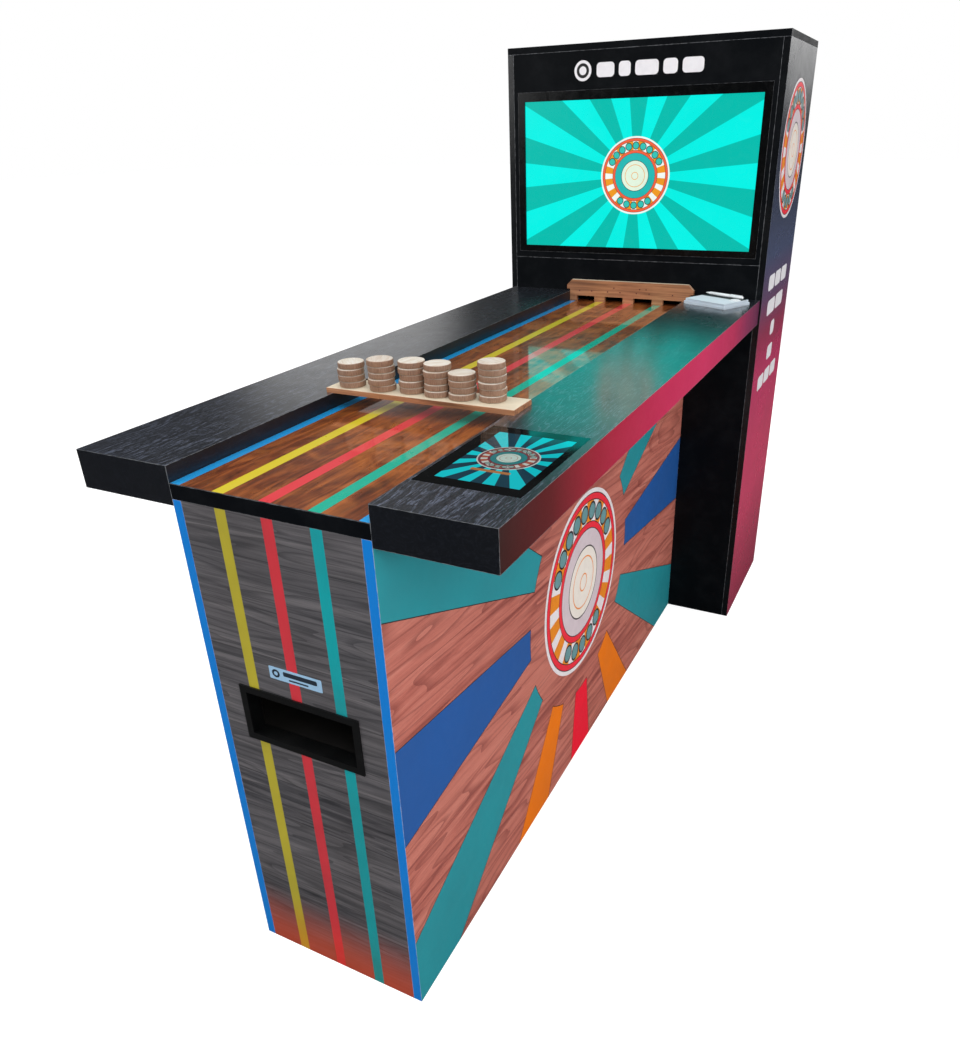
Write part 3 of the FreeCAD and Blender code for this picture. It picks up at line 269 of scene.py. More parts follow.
@dataclass(frozen=True)
class Grain:
    """The figure of a wood: how long and wide its streaks are, and its colours from light to dark."""

    length_mm: float
    width_mm: float
    light: str
    middle: str
    dark: str
    along: int = 1
    distortion: float = 0.6
    pore_mm: float = 1.0
    pores: float = 0.35
    tilt: float = 0.0
    contrast: float = 0.17
    plank_mm: float = 0.0
    rings: float = 0.0
    ring_amount: float = 0.55

    def draw(self, nodes: Nodes, place: Socket) -> tuple[Socket, Socket]:
        """Draws the wood.

        Args:
            nodes: The nodes.
            place: The position.

        Returns:
            The colour, and the fine pores as a height from 0 to 1.
        """
        if self.tilt:
            place = nodes.add("VectorRotate", rotation_type="X_AXIS", Vector=place,
                              Angle=math.radians(self.tilt))
        joint, tone = 0.0, 0.0
        if self.plank_mm:
            place, joint, tone = self.planks(nodes, place)
        streaks = nodes.stretch(place, self.width_mm, self.length_mm, self.along)
        figure = nodes.add("TexNoise", Vector=streaks, Scale=1.0, Detail=8.0, Roughness=0.62,
                           Distortion=self.distortion)
        shade = nodes.add("MapRange", (figure, 0.5 - self.contrast, 0.5 + self.contrast, 0.0, 1.0))
        wood = nodes.ramp(shade, ((0.0, self.light), (0.5, self.middle), (1.0, self.dark)))
        fine = nodes.add("TexNoise", Vector=nodes.stretch(place, self.pore_mm, self.pore_mm * 45, self.along),
                         Scale=1.0, Detail=3.0, Roughness=0.7)
        open_pores = nodes.add("MapRange", (fine, 0.5, 0.72, 0.0, self.pores))
        wood = nodes.paint(wood, (open_pores, self.dark), (tone, self.light))
        if self.rings:
            wood = nodes.paint(wood, (self.growth_rings(nodes, place), self.dark))
        return nodes.paint(wood, (joint, self.dark)), fine

    def growth_rings(self, nodes: Nodes, place: Socket) -> Socket:
        """Masks thin lines that follow the wood's figure, as a flat-sawn board's arches do.

        Args:
            nodes: The nodes.
            place: The place.

        Returns:
            The mask.
        """
        spread = nodes.stretch(place, self.width_mm * 3.2, self.length_mm * 1.3, self.along)
        swell = nodes.add("TexNoise", Vector=spread, Scale=1.0, Detail=1.6, Roughness=0.4, Distortion=0.4)
        phase = nodes.add("Math.FRACT", (nodes.add("Math.MULTIPLY", (swell, self.rings)),))
        return nodes.add("MapRange", (phase, 0.62, 1.0, 0.0, self.ring_amount))

    def planks(self, nodes: Nodes, place: Socket) -> tuple[Socket, Socket, Socket]:
        """Cuts the picture into planks, each from another board.

        Args:
            nodes: The nodes.
            place: The position.

        Returns:
            The place in each plank's own board, the mask of the joints and each plank's paleness.
        """
        rise = nodes.add("Math.DIVIDE", (nodes.axes(place)[2], self.plank_mm * MM))
        number = nodes.add("Math.FLOOR", (rise,))
        chance = nodes.add("TexWhiteNoise", noise_dimensions="1D", W=number)
        shift = nodes.add("VectorMath.SCALE", {0: (31.0, 47.0, 13.0), "Scale": chance})
        moved = nodes.add("VectorMath.ADD", (place, shift))
        share = nodes.add("Math.FRACT", (rise,))
        joint = nodes.add("MapRange", (share, 1.2 / self.plank_mm, 2.0 / self.plank_mm, 0.6, 0.0))
        return moved, joint, nodes.add("MapRange", (chance, 0.0, 1.0, 0.0, 0.3))


class Finish:
    """A surface finish, which makes its material for one piece at a time.

    The roughness lies between two values, in soft patches as handling and wiping leave. A patch or relief
    of zero means that the finish has none, or draws its roughness by itself.
    """

    title: str
    inputs: dict[str, float] = {"IOR": 1.5}
    rough: Pair = (0.3, 0.42)
    patch_mm: float = 60
    relief_mm: float = 0.05

    def draw(self, work: Surface) -> tuple[Socket, Socket | None]:
        """Draws the finish.

        Args:
            work: The material in the making.

        Returns:
            The colour, and the height of the relief.
        """
        raise NotImplementedError

    def make(self, node: str) -> Material:
        """Makes the material for the named piece.

        Args:
            node: The CAD piece's name.

        Returns:
            The material.
        """
        work = Surface(self.title.format(self, node), node, **self.inputs)
        colour, height = self.draw(work)
        work.join("Base Color", colour)
        if self.patch_mm:
            work.join("Roughness", work.mottle((0.3, 0.7, *self.rough), Scale=1.0 / (self.patch_mm * MM),
                                               Detail=6.0, Roughness=0.65))
        if self.relief_mm:
            work.join("Normal", work.add("Bump", Strength=0.7, Distance=self.relief_mm * MM, Height=height))
        return work.material


@dataclass(frozen=True)
class SunburstPrint(Finish):
    """Digital print on satin laminate: a cherry plank picture with a twelve-ray sunburst over it.

    The ink lies under a clear film, so the colours are crisp and the sheen is even.
    """

    title = "printed_laminate_{1}"
    inputs = {"Specular_IOR_Level": 0.25}
    grain: Grain = Grain(620, 26, "#CE8272", "#BC6C5E", "#763632", along=1, tilt=5.0, pores=0.5,
                         pore_mm=1.6, distortion=0.9, plank_mm=128, rings=11, contrast=0.22)
    rays: Fade = ((0.0, "#24589E"), (0.25, "#26909A"), (0.55, "#EE7800"), (0.85, "#F80C30"))
    step: float = math.radians(30)
    half_angle: float = math.radians(7.2)
    inner_radius: float = 0.31
    centre: Pair = (-0.2345, 0.512)

    def draw(self, work: Surface) -> tuple[Socket, Socket]:
        """Draws the print for one side panel.

        Args:
            work: The material in the making.

        Returns:
            The colour, and the height of the relief or None.
        """
        x, y, z = work.axes(work.place)
        wood, pores = self.grain.draw(work, work.place)
        wide, tall = (work.add("Math.ABSOLUTE", (work.add("Math.SUBTRACT", (part, middle)),))
                      for part, middle in zip((y, z), self.centre))
        turns = work.add("Math.DIVIDE", (work.add("Math.ARCTAN2", (tall, wide)), self.step))
        ray = work.add("Math.ROUND", (turns,))
        off = work.add("Math.ABSOLUTE", (work.add("Math.SUBTRACT", (turns, ray)),))
        square = work.add("Math.ADD", [work.add("Math.MULTIPLY", (part, part)) for part in (wide, tall)])
        radius = work.add("Math.SQRT", (square,))
        arc = work.add("Math.MULTIPLY", (work.add("Math.MULTIPLY", (off, radius)), self.step))
        half = work.add("Math.MULTIPLY", (radius, self.half_angle))
        inside = work.add("Math.SUBTRACT", (self.inner_radius, radius))
        gap = work.add("Math.MAXIMUM", (work.add("Math.SUBTRACT", (arc, half)), inside))
        body = work.add("MapRange", (gap, -0.3 * MM, 0.3 * MM, 1.0, 0.0))
        rim = work.near(gap, 0.0, 0.9 * MM, 0.3 * MM)
        hues = work.ramp(work.add("Math.DIVIDE", (ray, 3.0)), self.rays, "CONSTANT")
        hues = work.paint(hues, (work.mottle((0.35, 0.7, 0.0, 0.12), Scale=6.0, Detail=4.0), "#38404A"))
        front_face = work.add("MapRange", (y, FRONT + 0.2 * MM, FRONT + 0.5 * MM, 1.0, 0.0))
        # The light line along the edges is partly rubbed wear and partly a painted edge highlight.
        return work.paint(wood, (body, hues), (rim, "#2A2426"), (work.under_skin(x, HALF_LANE), "#B9B0A2"),
                          (front_face, "#007CD4"), (work.edge_wear_and_highlight(0.9, 0.5), "#C9BDB6")), pores


@dataclass(frozen=True)
class Stripe:
    """One printed stripe: its place across the table, its width and its colours."""

    x: float
    width: float
    colour: str
    low_colour: str = "#000000"

    def mask(self, nodes: Nodes, x: Socket) -> Socket:
        """Masks the stripe."""
        return nodes.near(x, self.x, self.width / 2)


@dataclass(frozen=True)
class StripedPrint(Finish):
    """Digital print on satin laminate: weathered oak planks with three stripes and a rusty foot."""

    title = "printed_laminate_{1}"
    inputs = {"Specular_IOR_Level": 0.25}
    rough = (0.34, 0.48)
    grain: Grain = Grain(420, 15, "#787476", "#565458", "#282A2E", along=0, pores=0.6, pore_mm=1.4,
                         distortion=1.0, contrast=0.22, plank_mm=92, rings=10, ring_amount=0.5)
    stripes: tuple[Stripe, ...] = (Stripe(-0.092, 0.022, "#BAAC30", "#D8941C"),
                                   Stripe(0.0, 0.022, "#D43440", "#E8382C"),
                                   Stripe(0.092, 0.022, "#00A0A6", "#2A8F8A"))
    foot: str = "#C84A2A"
    foot_height: float = 0.17

    def draw(self, work: Surface) -> tuple[Socket, Socket]:
        """Draws the print for the front panel.

        Args:
            work: The material in the making.

        Returns:
            The colour, and the height of the relief or None.
        """
        x, _, z = work.axes(work.place)
        wood, pores = self.grain.draw(work, work.place)
        rust = work.add("MapRange", (z, 0.0, self.foot_height, 0.85, 0.0), interpolation_type="SMOOTHSTEP")
        stripes = [(stripe.mask(work, x), work.paint(stripe.colour, (rust, stripe.low_colour)))
                   for stripe in self.stripes]
        dirt = work.mottle((0.35, 0.7, 0.0, 0.18), Scale=9.0, Detail=6.0)
        return work.paint(wood, (rust, self.foot), *stripes, (dirt, "#3A3330")), pores


@dataclass(frozen=True)
class VarnishedLane(Finish):
    """Walnut picture laminate under gloss varnish, waxed for the pucks, so that it mirrors softly."""

    title = "varnished_laminate_{1}"
    inputs = {"IOR": 1.5, "Coat_Weight": 1.0, "Coat_Roughness": 0.05, "Coat_IOR": 1.65}
    rough = (0.25, 0.4)
    relief_mm = 0.02
    grain: Grain = Grain(210, 22, "#B0622E", "#80401F", "#4A2412", along=1, distortion=2.0, pores=0.45,
                         pore_mm=1.1, contrast=0.17, rings=9, ring_amount=0.4)
    stripes: tuple[Stripe, ...] = (
        Stripe(-0.180, 0.020, "#20A4EC"), Stripe(-0.092, 0.0235, "#E2CE2E"), Stripe(0.0, 0.0235, "#E64048"),
        Stripe(0.092, 0.0235, "#16B498"), Stripe(0.180, 0.020, "#20A4EC"))

    def draw(self, work: Surface) -> tuple[Socket, Socket]:
        """Draws the lane.

        Args:
            work: The material in the making.

        Returns:
            The colour, and the height of the relief or None.
        """
        x = work.axes(work.place)[0]
        wood, pores = self.grain.draw(work, work.place)
        glow = work.mottle((0.42, 0.68, 0.0, 0.5), Scale=11.0, Detail=5.0, Distortion=1.5)
        scuffed = work.mottle((0.66, 0.74, 0.0, 0.2), work.stretch(work.place, 1.5, 160, 1), Scale=1.0,
                              Detail=2.0)
        stripes = [(stripe.mask(work, x), stripe.colour) for stripe in self.stripes]
        return work.paint(wood, (glow, "#C47434"), *stripes, (scuffed, "#C9B8A0")), pores


@dataclass(frozen=True)
class WoodgrainLaminate(Finish):
    """Black ash melamine laminate, pressed with an open grain, and a crimson print on the outer sides.

    The pressed pores catch light along the grain, and the faces between them are smooth enough to mirror. The
    pores are painted brighter towards the player's end, as painted sheen.
    """

    title = "black_ash_laminate_{1}"
    inputs = {"Specular_IOR_Level": 0.5, "Coat_IOR": 2.2, "Coat_Roughness": 0.2}
    rough = (0.3, 0.45)
    patch_mm = 90
    relief_mm = 0.14
    black: str = "#080C14"
    pore: str = "#6C7488"
    fade: Fade = ((0.0, "#36120E"), (0.1, "#5E1418"), (0.19, "#94142A"), (0.27, "#AA163A"), (0.45, "#C42252"),
                  (0.63, "#CE2C5E"), (0.81, "#BA2856"), (0.9, "#902A56"), (1.0, "#64284C"))

    def draw(self, work: Surface) -> tuple[Socket, Socket]:
        """Draws the laminate for one armrest.

        Args:
            work: The material in the making.

        Returns:
            The colour, and the height of the relief or None.
        """
        x, y, _ = work.axes(work.place)
        low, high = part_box(work.node)
        grain = Grain(200, 9.0, "#000000", "#888888", "#FFFFFF", along=1, rings=11, ring_amount=1.0)
        pores = work.add("TexNoise", Vector=work.stretch(work.place, 1.1, 13, 1), Scale=1.0, Detail=2.5,
                         Roughness=0.6, Distortion=0.5)
        lines = work.add("MapRange", (pores, 0.44, 0.6, 0.0, 1.0))
        arches = work.add("MapRange", (grain.growth_rings(work, work.place), 0.0, 0.4, 0.2, 1.0))
        # The pale pores are painted brighter towards the player's end and fainter towards the tower: painted
        # sheen, not the laminate's own colour.
        pore_sheen_near_end = work.add("MapRange", (y, FRONT, FRONT + 1.1, 0.9, 0.25))
        for share in (arches, pore_sheen_near_end, work.level((0.5, 0.9, 0.06, 1.0))):
            lines = work.add("Math.MULTIPLY", (lines, share))
        crimson = work.ramp(work.add("MapRange", (y, low[1], high[1], 0.0, 1.0)), self.fade)
        outer = work.add("Math.GREATER_THAN", (work.add("Math.ABSOLUTE", (x,)), HALF_TABLE - 0.3 * MM))
        work.join("Coat Weight", work.level((0.5, 0.9, 0.0, 1.0)))
        # The grey line along the edges is partly rubbed wear and partly a painted edge highlight.
        return work.paint(self.black, (lines, self.pore), (outer, crimson),
                          (work.edge_wear_and_highlight(1.0, 0.5), "#8E9296")), pores


@dataclass(frozen=True)
class BoardPaint(Finish):
    """Satin black melamine board, with the fine orange-peel texture that the press plate leaves."""

    title = "satin_melamine_{1}"
    inputs = {"Specular_IOR_Level": 0.08}
    rough = (0.38, 0.55)
    patch_mm = 120
    relief_mm = 0.03
    black: str = "#06090D"

    def ground(self, work: Surface) -> Any:
        """Returns the board's colour before the haze, the edge wear and the painted edge highlight."""
        return self.black

    def draw(self, work: Surface) -> tuple[Socket, Socket]:
        """Draws the board.

        Args:
            work: The material in the making.

        Returns:
            The colour, and the height of the relief or None.
        """
        peel = work.add("TexNoise", Vector=work.place, Scale=900.0, Detail=2.0)
        haze = work.mottle((0.45, 0.8, 0.0, 0.05), Scale=14.0, Detail=7.0, Roughness=0.7)
        # The grey line along the edges is partly rubbed wear and partly a painted edge highlight.
        return work.paint(self.ground(work), (haze, "#5A5C60"), (work.edge_wear_and_highlight(0.9, 0.6), "#77797D")), peel


@dataclass(frozen=True)
class TowerPrint(BoardPaint):
    """Printed film on the tower's sides: magenta at the foot, through slate, to black at the head."""

    inputs = {"Specular_IOR_Level": 0.5}
    rough = (0.18, 0.3)
    fade: Fade = ((0.0, "#9A1C42"), (0.13, "#B63054"), (0.24, "#CE3A62"), (0.34, "#CE3862"), (0.48, "#C02C60"),
                  (0.545, "#9A284E"), (0.61, "#644468"), (0.68, "#424C6C"), (0.78, "#30384E"),
                  (0.9, "#1E222C"), (1.0, "#15171B"))

    def ground(self, work: Surface) -> Any:
        """Returns the print's colour, which changes with height, and plain black on the inner face.

        Args:
            work: The material in the making.

        Returns:
            The colour.
        """
        x, _, z = work.axes(work.place)
        print_colour = work.ramp(work.add("Math.DIVIDE", (z, TOWER_TOP)), self.fade)
        return work.paint(print_colour, (work.under_skin(x, HALF_TOWER), self.black))


@dataclass(frozen=True)
class SolidWood(Finish):
    """Planed and oiled wood. Its faces show long grain, and its upward faces can be painted paler, as painted
    light from above.
    """

    title = "oiled_wood_{1}"
    rough = (0.42, 0.6)
    relief_mm = 0.06
    grain: Grain
    top: str = "#000000"
    top_amount: float = 0.0

    def draw(self, work: Surface) -> tuple[Socket, Socket]:
        """Draws the wood.

        Args:
            work: The material in the making.

        Returns:
            The colour, and the height of the relief or None.
        """
        wood, pores = self.grain.draw(work, work.place)
        grime = work.mottle((0.45, 0.75, 0.0, 0.2), Scale=18.0, Detail=5.0)
        # Upward faces are painted towards a paler colour: painted light from above, not the wood's own tone.
        lit_top_mask = work.level((0.6, 0.95, 0.0, self.top_amount))
        return work.paint(wood, (lit_top_mask, self.top), (grime, self.grain.dark)), pores


@dataclass(frozen=True)
class BirchPlywood(Finish):
    """Birch plywood with near-black faces, painted dark as the shade inside the slot and its tray, and edges
    that show the 1.5 mm veneers.
    """

    title = "film_faced_birch_{1}"
    rough = (0.5, 0.65)
    relief_mm = 0.06
    # The near-black wood colours are painted shade for the inside of the slot.
    grain: Grain = Grain(300, 24, "#0E0C0A", "#0A0807", "#060505", along=1, distortion=1.8, pores=0.2)
    veneer_mm: float = 1.5

    def draw(self, work: Surface) -> tuple[Socket, Socket]:
        """Draws the plywood.

        Args:
            work: The material in the making.

        Returns:
            The colour, and the height of the relief or None.
        """
        wood, pores = self.grain.draw(work, work.place)
        layer = work.add("Math.DIVIDE", (work.axes(work.place)[2], self.veneer_mm * 2 * MM))
        dark = work.add("Math.GREATER_THAN", (work.add("Math.FRACT", (layer,)), 0.5))
        veneers = work.add("Math.MULTIPLY", (dark, work.level((0.3, 0.6, 0.55, 0.0), both=True)))
        return work.paint(wood, (veneers, "#2A1E14")), pores


@dataclass(frozen=True)
class PuckMaple(Finish):
    """Turned and sanded maple: pale faces, and browner rims, partly where the end grain drinks the oil and
    partly painted shade on the sides that face away from the light.
    """

    title = "turned_maple_{1}"
    patch_mm = 0
    face: Grain = Grain(60, 5.0, "#E2DED6", "#D8D0C4", "#C2AF98", along=1, distortion=1.2, pores=0.2,
                        pore_mm=0.7)
    rim: Fade = ((0.0, "#A88872"), (1.0, "#70503E"))

    def draw(self, work: Surface) -> tuple[Socket, Socket]:
        """Draws the pucks' wood, which follows each puck's own turn and tone.

        Args:
            work: The material in the making.

        Returns:
            The colour, and the height of the relief or None.
        """
        place = work.add("Attribute", out=1, attribute_name=PuckStack.GRAIN_PLACE)
        tone = work.add("Attribute", out=2, attribute_name=PuckStack.TONE)
        wood, pores = self.face.draw(work, place)
        end_grain = work.add("TexNoise", Vector=work.stretch(place, 1.2, 14, 2), Scale=1.0, Detail=4.0,
                             Roughness=0.7)
        rim = work.ramp(work.add("MapRange", (end_grain, 0.35, 0.7, 0.0, 1.0)), self.rim)
        work.join("Roughness", work.add("MapRange", (end_grain, 0.3, 0.7, 0.4, 0.58)))
        # The sides take the darker rim colour: partly the end grain's own tone, partly painted shade, as the
        # sides face away from the light above.
        side = work.level((0.45, 0.9, 1.0, 0.0), both=True)
        return work.paint(wood, (side, rim), (tone, "#96694A")), pores


@dataclass(frozen=True)
class Chipboard(Finish):
    """Raw melamine chipboard inside the casing: warm grey with pressed flakes."""

    title = "chipboard_{1}"
    inputs = {"IOR": 1.48}
    rough = (0.6, 0.75)
    relief_mm = 0.08

    def draw(self, work: Surface) -> tuple[Socket, Socket]:
        """Draws the board.

        Args:
            work: The material in the making.

        Returns:
            The colour, and the height of the relief or None.
        """
        flakes = work.add("TexVoronoi", Vector=work.place, Scale=260.0)
        tint = work.add("MapRange", (flakes, 0.1, 0.6, 0.5, 0.0))
        return work.paint("#B9B0A2", (tint, "#8C8071")), flakes


@dataclass(frozen=True)
class MouldedPlastic(Finish):
    """Injection-moulded ABS. Spark-eroded tooling leaves a fine grain that breaks up its highlights."""

    title = "abs_{0.name}_{1}"
    inputs = {"IOR": 1.53}
    patch_mm = 25
    name: str
    colour: str
    rough: Pair = (0.32, 0.48)
    grain_mm: float = 0.7
    relief_mm: float = 0.04
    scuff: str = "#8A8C90"

    def draw(self, work: Surface) -> tuple[Socket, Socket]:
        """Draws the plastic.

        Args:
            work: The material in the making.

        Returns:
            The colour, and the height of the relief or None.
        """
        pits = work.add("TexNoise", Vector=work.place, Scale=1 / (self.grain_mm * MM), Detail=2.0)
        marks = work.mottle((0.55, 0.8, 0.0, 0.3), Scale=35.0, Detail=6.0, Roughness=0.7)
        return work.paint(self.colour, (marks, self.scuff)), pits


@dataclass(frozen=True)
class Metal(Finish):
    """Bare or plated metal. Drawing or turning leaves fine lines, and plating leaves mottled sheen."""

    title = "{0.name}_{1}"
    inputs = {"Metallic": 1.0}
    patch_mm = 0
    relief_mm = 0.01
    name: str
    colour: str
    rough: Pair
    line_mm: float = 0.8
    along: int = 2

    def draw(self, work: Surface) -> tuple[Socket, Socket]:
        """Draws the metal.

        Args:
            work: The material in the making.

        Returns:
            The colour, and the height of the relief or None.
        """
        drawn = work.stretch(work.place, self.line_mm, self.line_mm * 40, self.along)
        lines = work.add("TexNoise", Vector=drawn, Scale=1.0, Detail=3.0)
        stains = work.mottle((0.5, 0.8, 0.0, 0.4), Scale=60.0, Detail=6.0)
        work.join("Roughness", work.add("MapRange", (lines, 0.3, 0.7, *self.rough)))
        return work.paint(self.colour, (stains, "#6A665E")), lines


@dataclass(frozen=True)
class PowderCoat(Finish):
    """Black powder coating on folded steel: rounded orange peel, and a bright line along the edges that is
    partly rubbed bare metal and partly a painted edge highlight.
    """

    title = "powder_coat_{1}"
    rough = (0.4, 0.55)
    colour: str = "#141416"

    def draw(self, work: Surface) -> tuple[Socket, Socket]:
        """Draws the coating."""
        peel = work.add("TexVoronoi", feature="SMOOTH_F1", Vector=work.place, Scale=650.0)
        # The bright line along the edges is partly rubbed metal and partly a painted edge highlight.
        return work.paint(self.colour, (work.edge_wear_and_highlight(0.7, 0.6), "#8C8E90")), peel


@dataclass(frozen=True)
class GlossAcrylic(Finish):
    """Black acrylic sheet with a satin polish. Fine wiping marks show only in its gloss."""

    title = "satin_acrylic_{1}"
    inputs = {"Specular_IOR_Level": 0.3}
    patch_mm = 0
    relief_mm = 0

    def draw(self, work: Surface) -> tuple[Socket, None]:
        """Draws the acrylic.

        Args:
            work: The material in the making.

        Returns:
            The colour, and the height of the relief or None.
        """
        wiped = work.add("TexNoise", Vector=work.place, Scale=22.0, Detail=8.0, Roughness=0.75, Distortion=2.0)
        work.join("Roughness", work.add("MapRange", (wiped, 0.35, 0.7, 0.12, 0.3)))
        smear = work.add("MapRange", (wiped, 0.5, 0.8, 0.0, 0.04))
        # The grey line along the edges is partly rubbed wear and partly a painted edge highlight.
        return work.paint("#060708", (smear, "#54565A"), (work.edge_wear_and_highlight(0.7, 0.7), "#6E7074")), None


class Facing(Enum):
    """The way that a lit pane faces, with the axes that run across and up its picture."""

    PLAYER = (0, 2)
    UPWARD = (0, 1)


@dataclass(frozen=True)
class LitPane(Finish):
    """Glass over a lit panel that shows a sunburst in two shades. Outside the picture the glass is black."""

    title = "lit_glass_{0.name}"
    patch_mm = 0
    relief_mm = 0
    inputs = {}
    name: str
    facing: Facing
    centre: Pair
    half: Pair
    burst: Pair
    stretch: float
    turn: float
    bright: str
    dim: str
    strength: float
    rough: Pair
    specular: float = 0.5
    rays: float = 14.0

    def draw(self, work: Surface) -> tuple[Socket, None]:
        """Draws the lit pane.

        Args:
            work: The material in the making.

        Returns:
            The colour, and the height of the relief or None.
        """
        work.set(Emission_Strength=self.strength, Specular_IOR_Level=self.specular)
        parts = work.axes(work.place)
        across, up = (parts[axis] for axis in self.facing.value)
        lit = work.add("Math.MULTIPLY", (work.near(across, self.centre[0], self.half[0], 0.3 * MM),
                                         work.near(up, self.centre[1], self.half[1], 0.3 * MM)))
        normal = work.axes(work.add("NewGeometry", out="Normal"))
        face = work.add("Math.ABSOLUTE", (normal[3 - sum(self.facing.value)],))
        lit = work.add("Math.MULTIPLY", (lit, work.add("Math.GREATER_THAN", (face, 0.9))))
        dx = work.add("Math.DIVIDE", (work.add("Math.SUBTRACT", (across, self.burst[0])), self.stretch))
        dz = work.add("Math.SUBTRACT", (up, self.burst[1]))
        angle = work.add("Math.ARCTAN2", (dz, dx))
        angle = work.add("Math.SUBTRACT", (angle, math.radians(self.turn)))
        wave = work.add("Math.COSINE", (work.add("Math.MULTIPLY", (angle, self.rays)),))
        ray = work.add("MapRange", (wave, -0.05, 0.05, 0.0, 1.0))
        # The backlight is a little uneven, as edge-lit panels are.
        dimming = work.mottle((0.35, 0.65, 0.0, 0.1), Scale=5.0, Detail=2.0)
        picture = work.paint(self.dim, (ray, self.bright), (dimming, self.dim))
        work.join("Emission Color", work.paint("#000000", (lit, picture)))
        smears = work.add("TexNoise", Vector=work.place, Scale=30.0, Detail=7.0, Roughness=0.75,
                          Distortion=1.5)
        work.join("Roughness", work.add("MapRange", (smears, 0.4, 0.75, *self.rough)))
        return work.paint("#08090A", (work.add("MapRange", (smears, 0.5, 0.8, 0.0, 0.03)), "#50555A")), None


@dataclass(frozen=True)
class Ink(Finish):
    """Screen-printed vinyl or a lit picture element: one ink with the faint mottle of its print."""

    title = "vinyl_ink_{0.name}"
    relief_mm = 0
    name: str
    colour: str
    glow: float = 0.0

    def make(self, node: str = "") -> Material:
        """Makes the ink, once for all pieces."""
        return bpy.data.materials.get(self.title.format(self)) or super().make(node)

    def draw(self, work: Surface) -> tuple[Socket, None]:
        """Draws the ink. A lit one glows, and is black glass when its light is off.

        Args:
            work: The material in the making.

        Returns:
            The colour, and the height of the relief or None.
        """
        work.set(Emission_Strength=self.glow)
        thin = work.mottle((0.45, 0.8, 0.0, 0.12), Scale=40.0, Detail=6.0, Roughness=0.7)
        colour = work.paint(self.colour, (thin, "#3A3032"))
        if self.glow:
            work.join("Emission Color", colour)
            colour = work.paint("#08090A", (thin, "#202224"))
        return colour, None


@dataclass(frozen=True)
class Paper(Finish):
    """Bond paper in a glued pad: white with a faint fibre mottle, quite rough."""

    title = "bond_paper_{1}"
    inputs = {"IOR": 1.45, "Roughness": 0.85}
    patch_mm = 0
    relief_mm = 0.03

    def draw(self, work: Surface) -> tuple[Socket, Socket]:
        """Draws the paper.

        Args:
            work: The material in the making.

        Returns:
            The colour, and the height of the relief or None.
        """
        fibre = work.add("TexNoise", Vector=work.place, Scale=700.0, Detail=4.0)
        aged = work.mottle((0.4, 0.7, 0.0, 0.25), Scale=25.0, Detail=4.0)
        return work.paint("#CFDAE4", (aged, "#C9CDD2")), fibre


def dress(node: str, finish: Finish) -> None:
    """Puts one finish on a CAD piece.

    Args:
        node: The CAD piece's name.
        finish: The finish.
    """
    piece = frame["nodes"][node]
    piece.data.materials.clear()
    piece.data.materials.append(finish.make(node))


@dataclass(frozen=True)
class Plane:
    """A flat place on the table for a print: a corner of its axes and its two directions."""

    origin: Vector
    right: Vector
    up: Vector

    def point(self, across: float, up: float, lift: float = 0.0) -> Vector:
        """Returns the point at these distances, lifted off the surface."""
        return self.origin + self.right * across + self.up * up + self.right.cross(self.up) * lift


def crosswise(y: float, way: int = 1) -> Plane:
    """Returns the upright plane at this y, which faces the player, or away from the player for -1."""
    return Plane(Vector((0, y, 0)), Vector((way, 0, 0)), Vector((0, 0, 1)))


def circle(radius: float, steps: int, turn: float = 0.0) -> list[Pair]:
    """Returns the points of a circle, from an angle in radians on."""
    angles = [2 * math.pi * step / steps + turn for step in range(steps)]
    return [(radius * math.cos(angle), radius * math.sin(angle)) for angle in angles]


def outline(width: float, height: float, corner: float, steps: int) -> list[Pair]:
    """Returns the points of a rectangle with rounded corners, each of so many steps.

    Args:
        width: The rectangle's width.
        height: The rectangle's height.
        corner: The radius of its corners.
        steps: The steps of each corner.

    Returns:
        The points.
    """
    points = []
    for quarter, (side_x, side_y) in enumerate(((1, 1), (-1, 1), (-1, -1), (1, -1))):
        for step in range(steps + 1):
            angle = math.radians(90 * (quarter + step / steps))
            points.append((side_x * (width / 2 - corner) + corner * math.cos(angle),
                           side_y * (height / 2 - corner) + corner * math.sin(angle)))
    return points


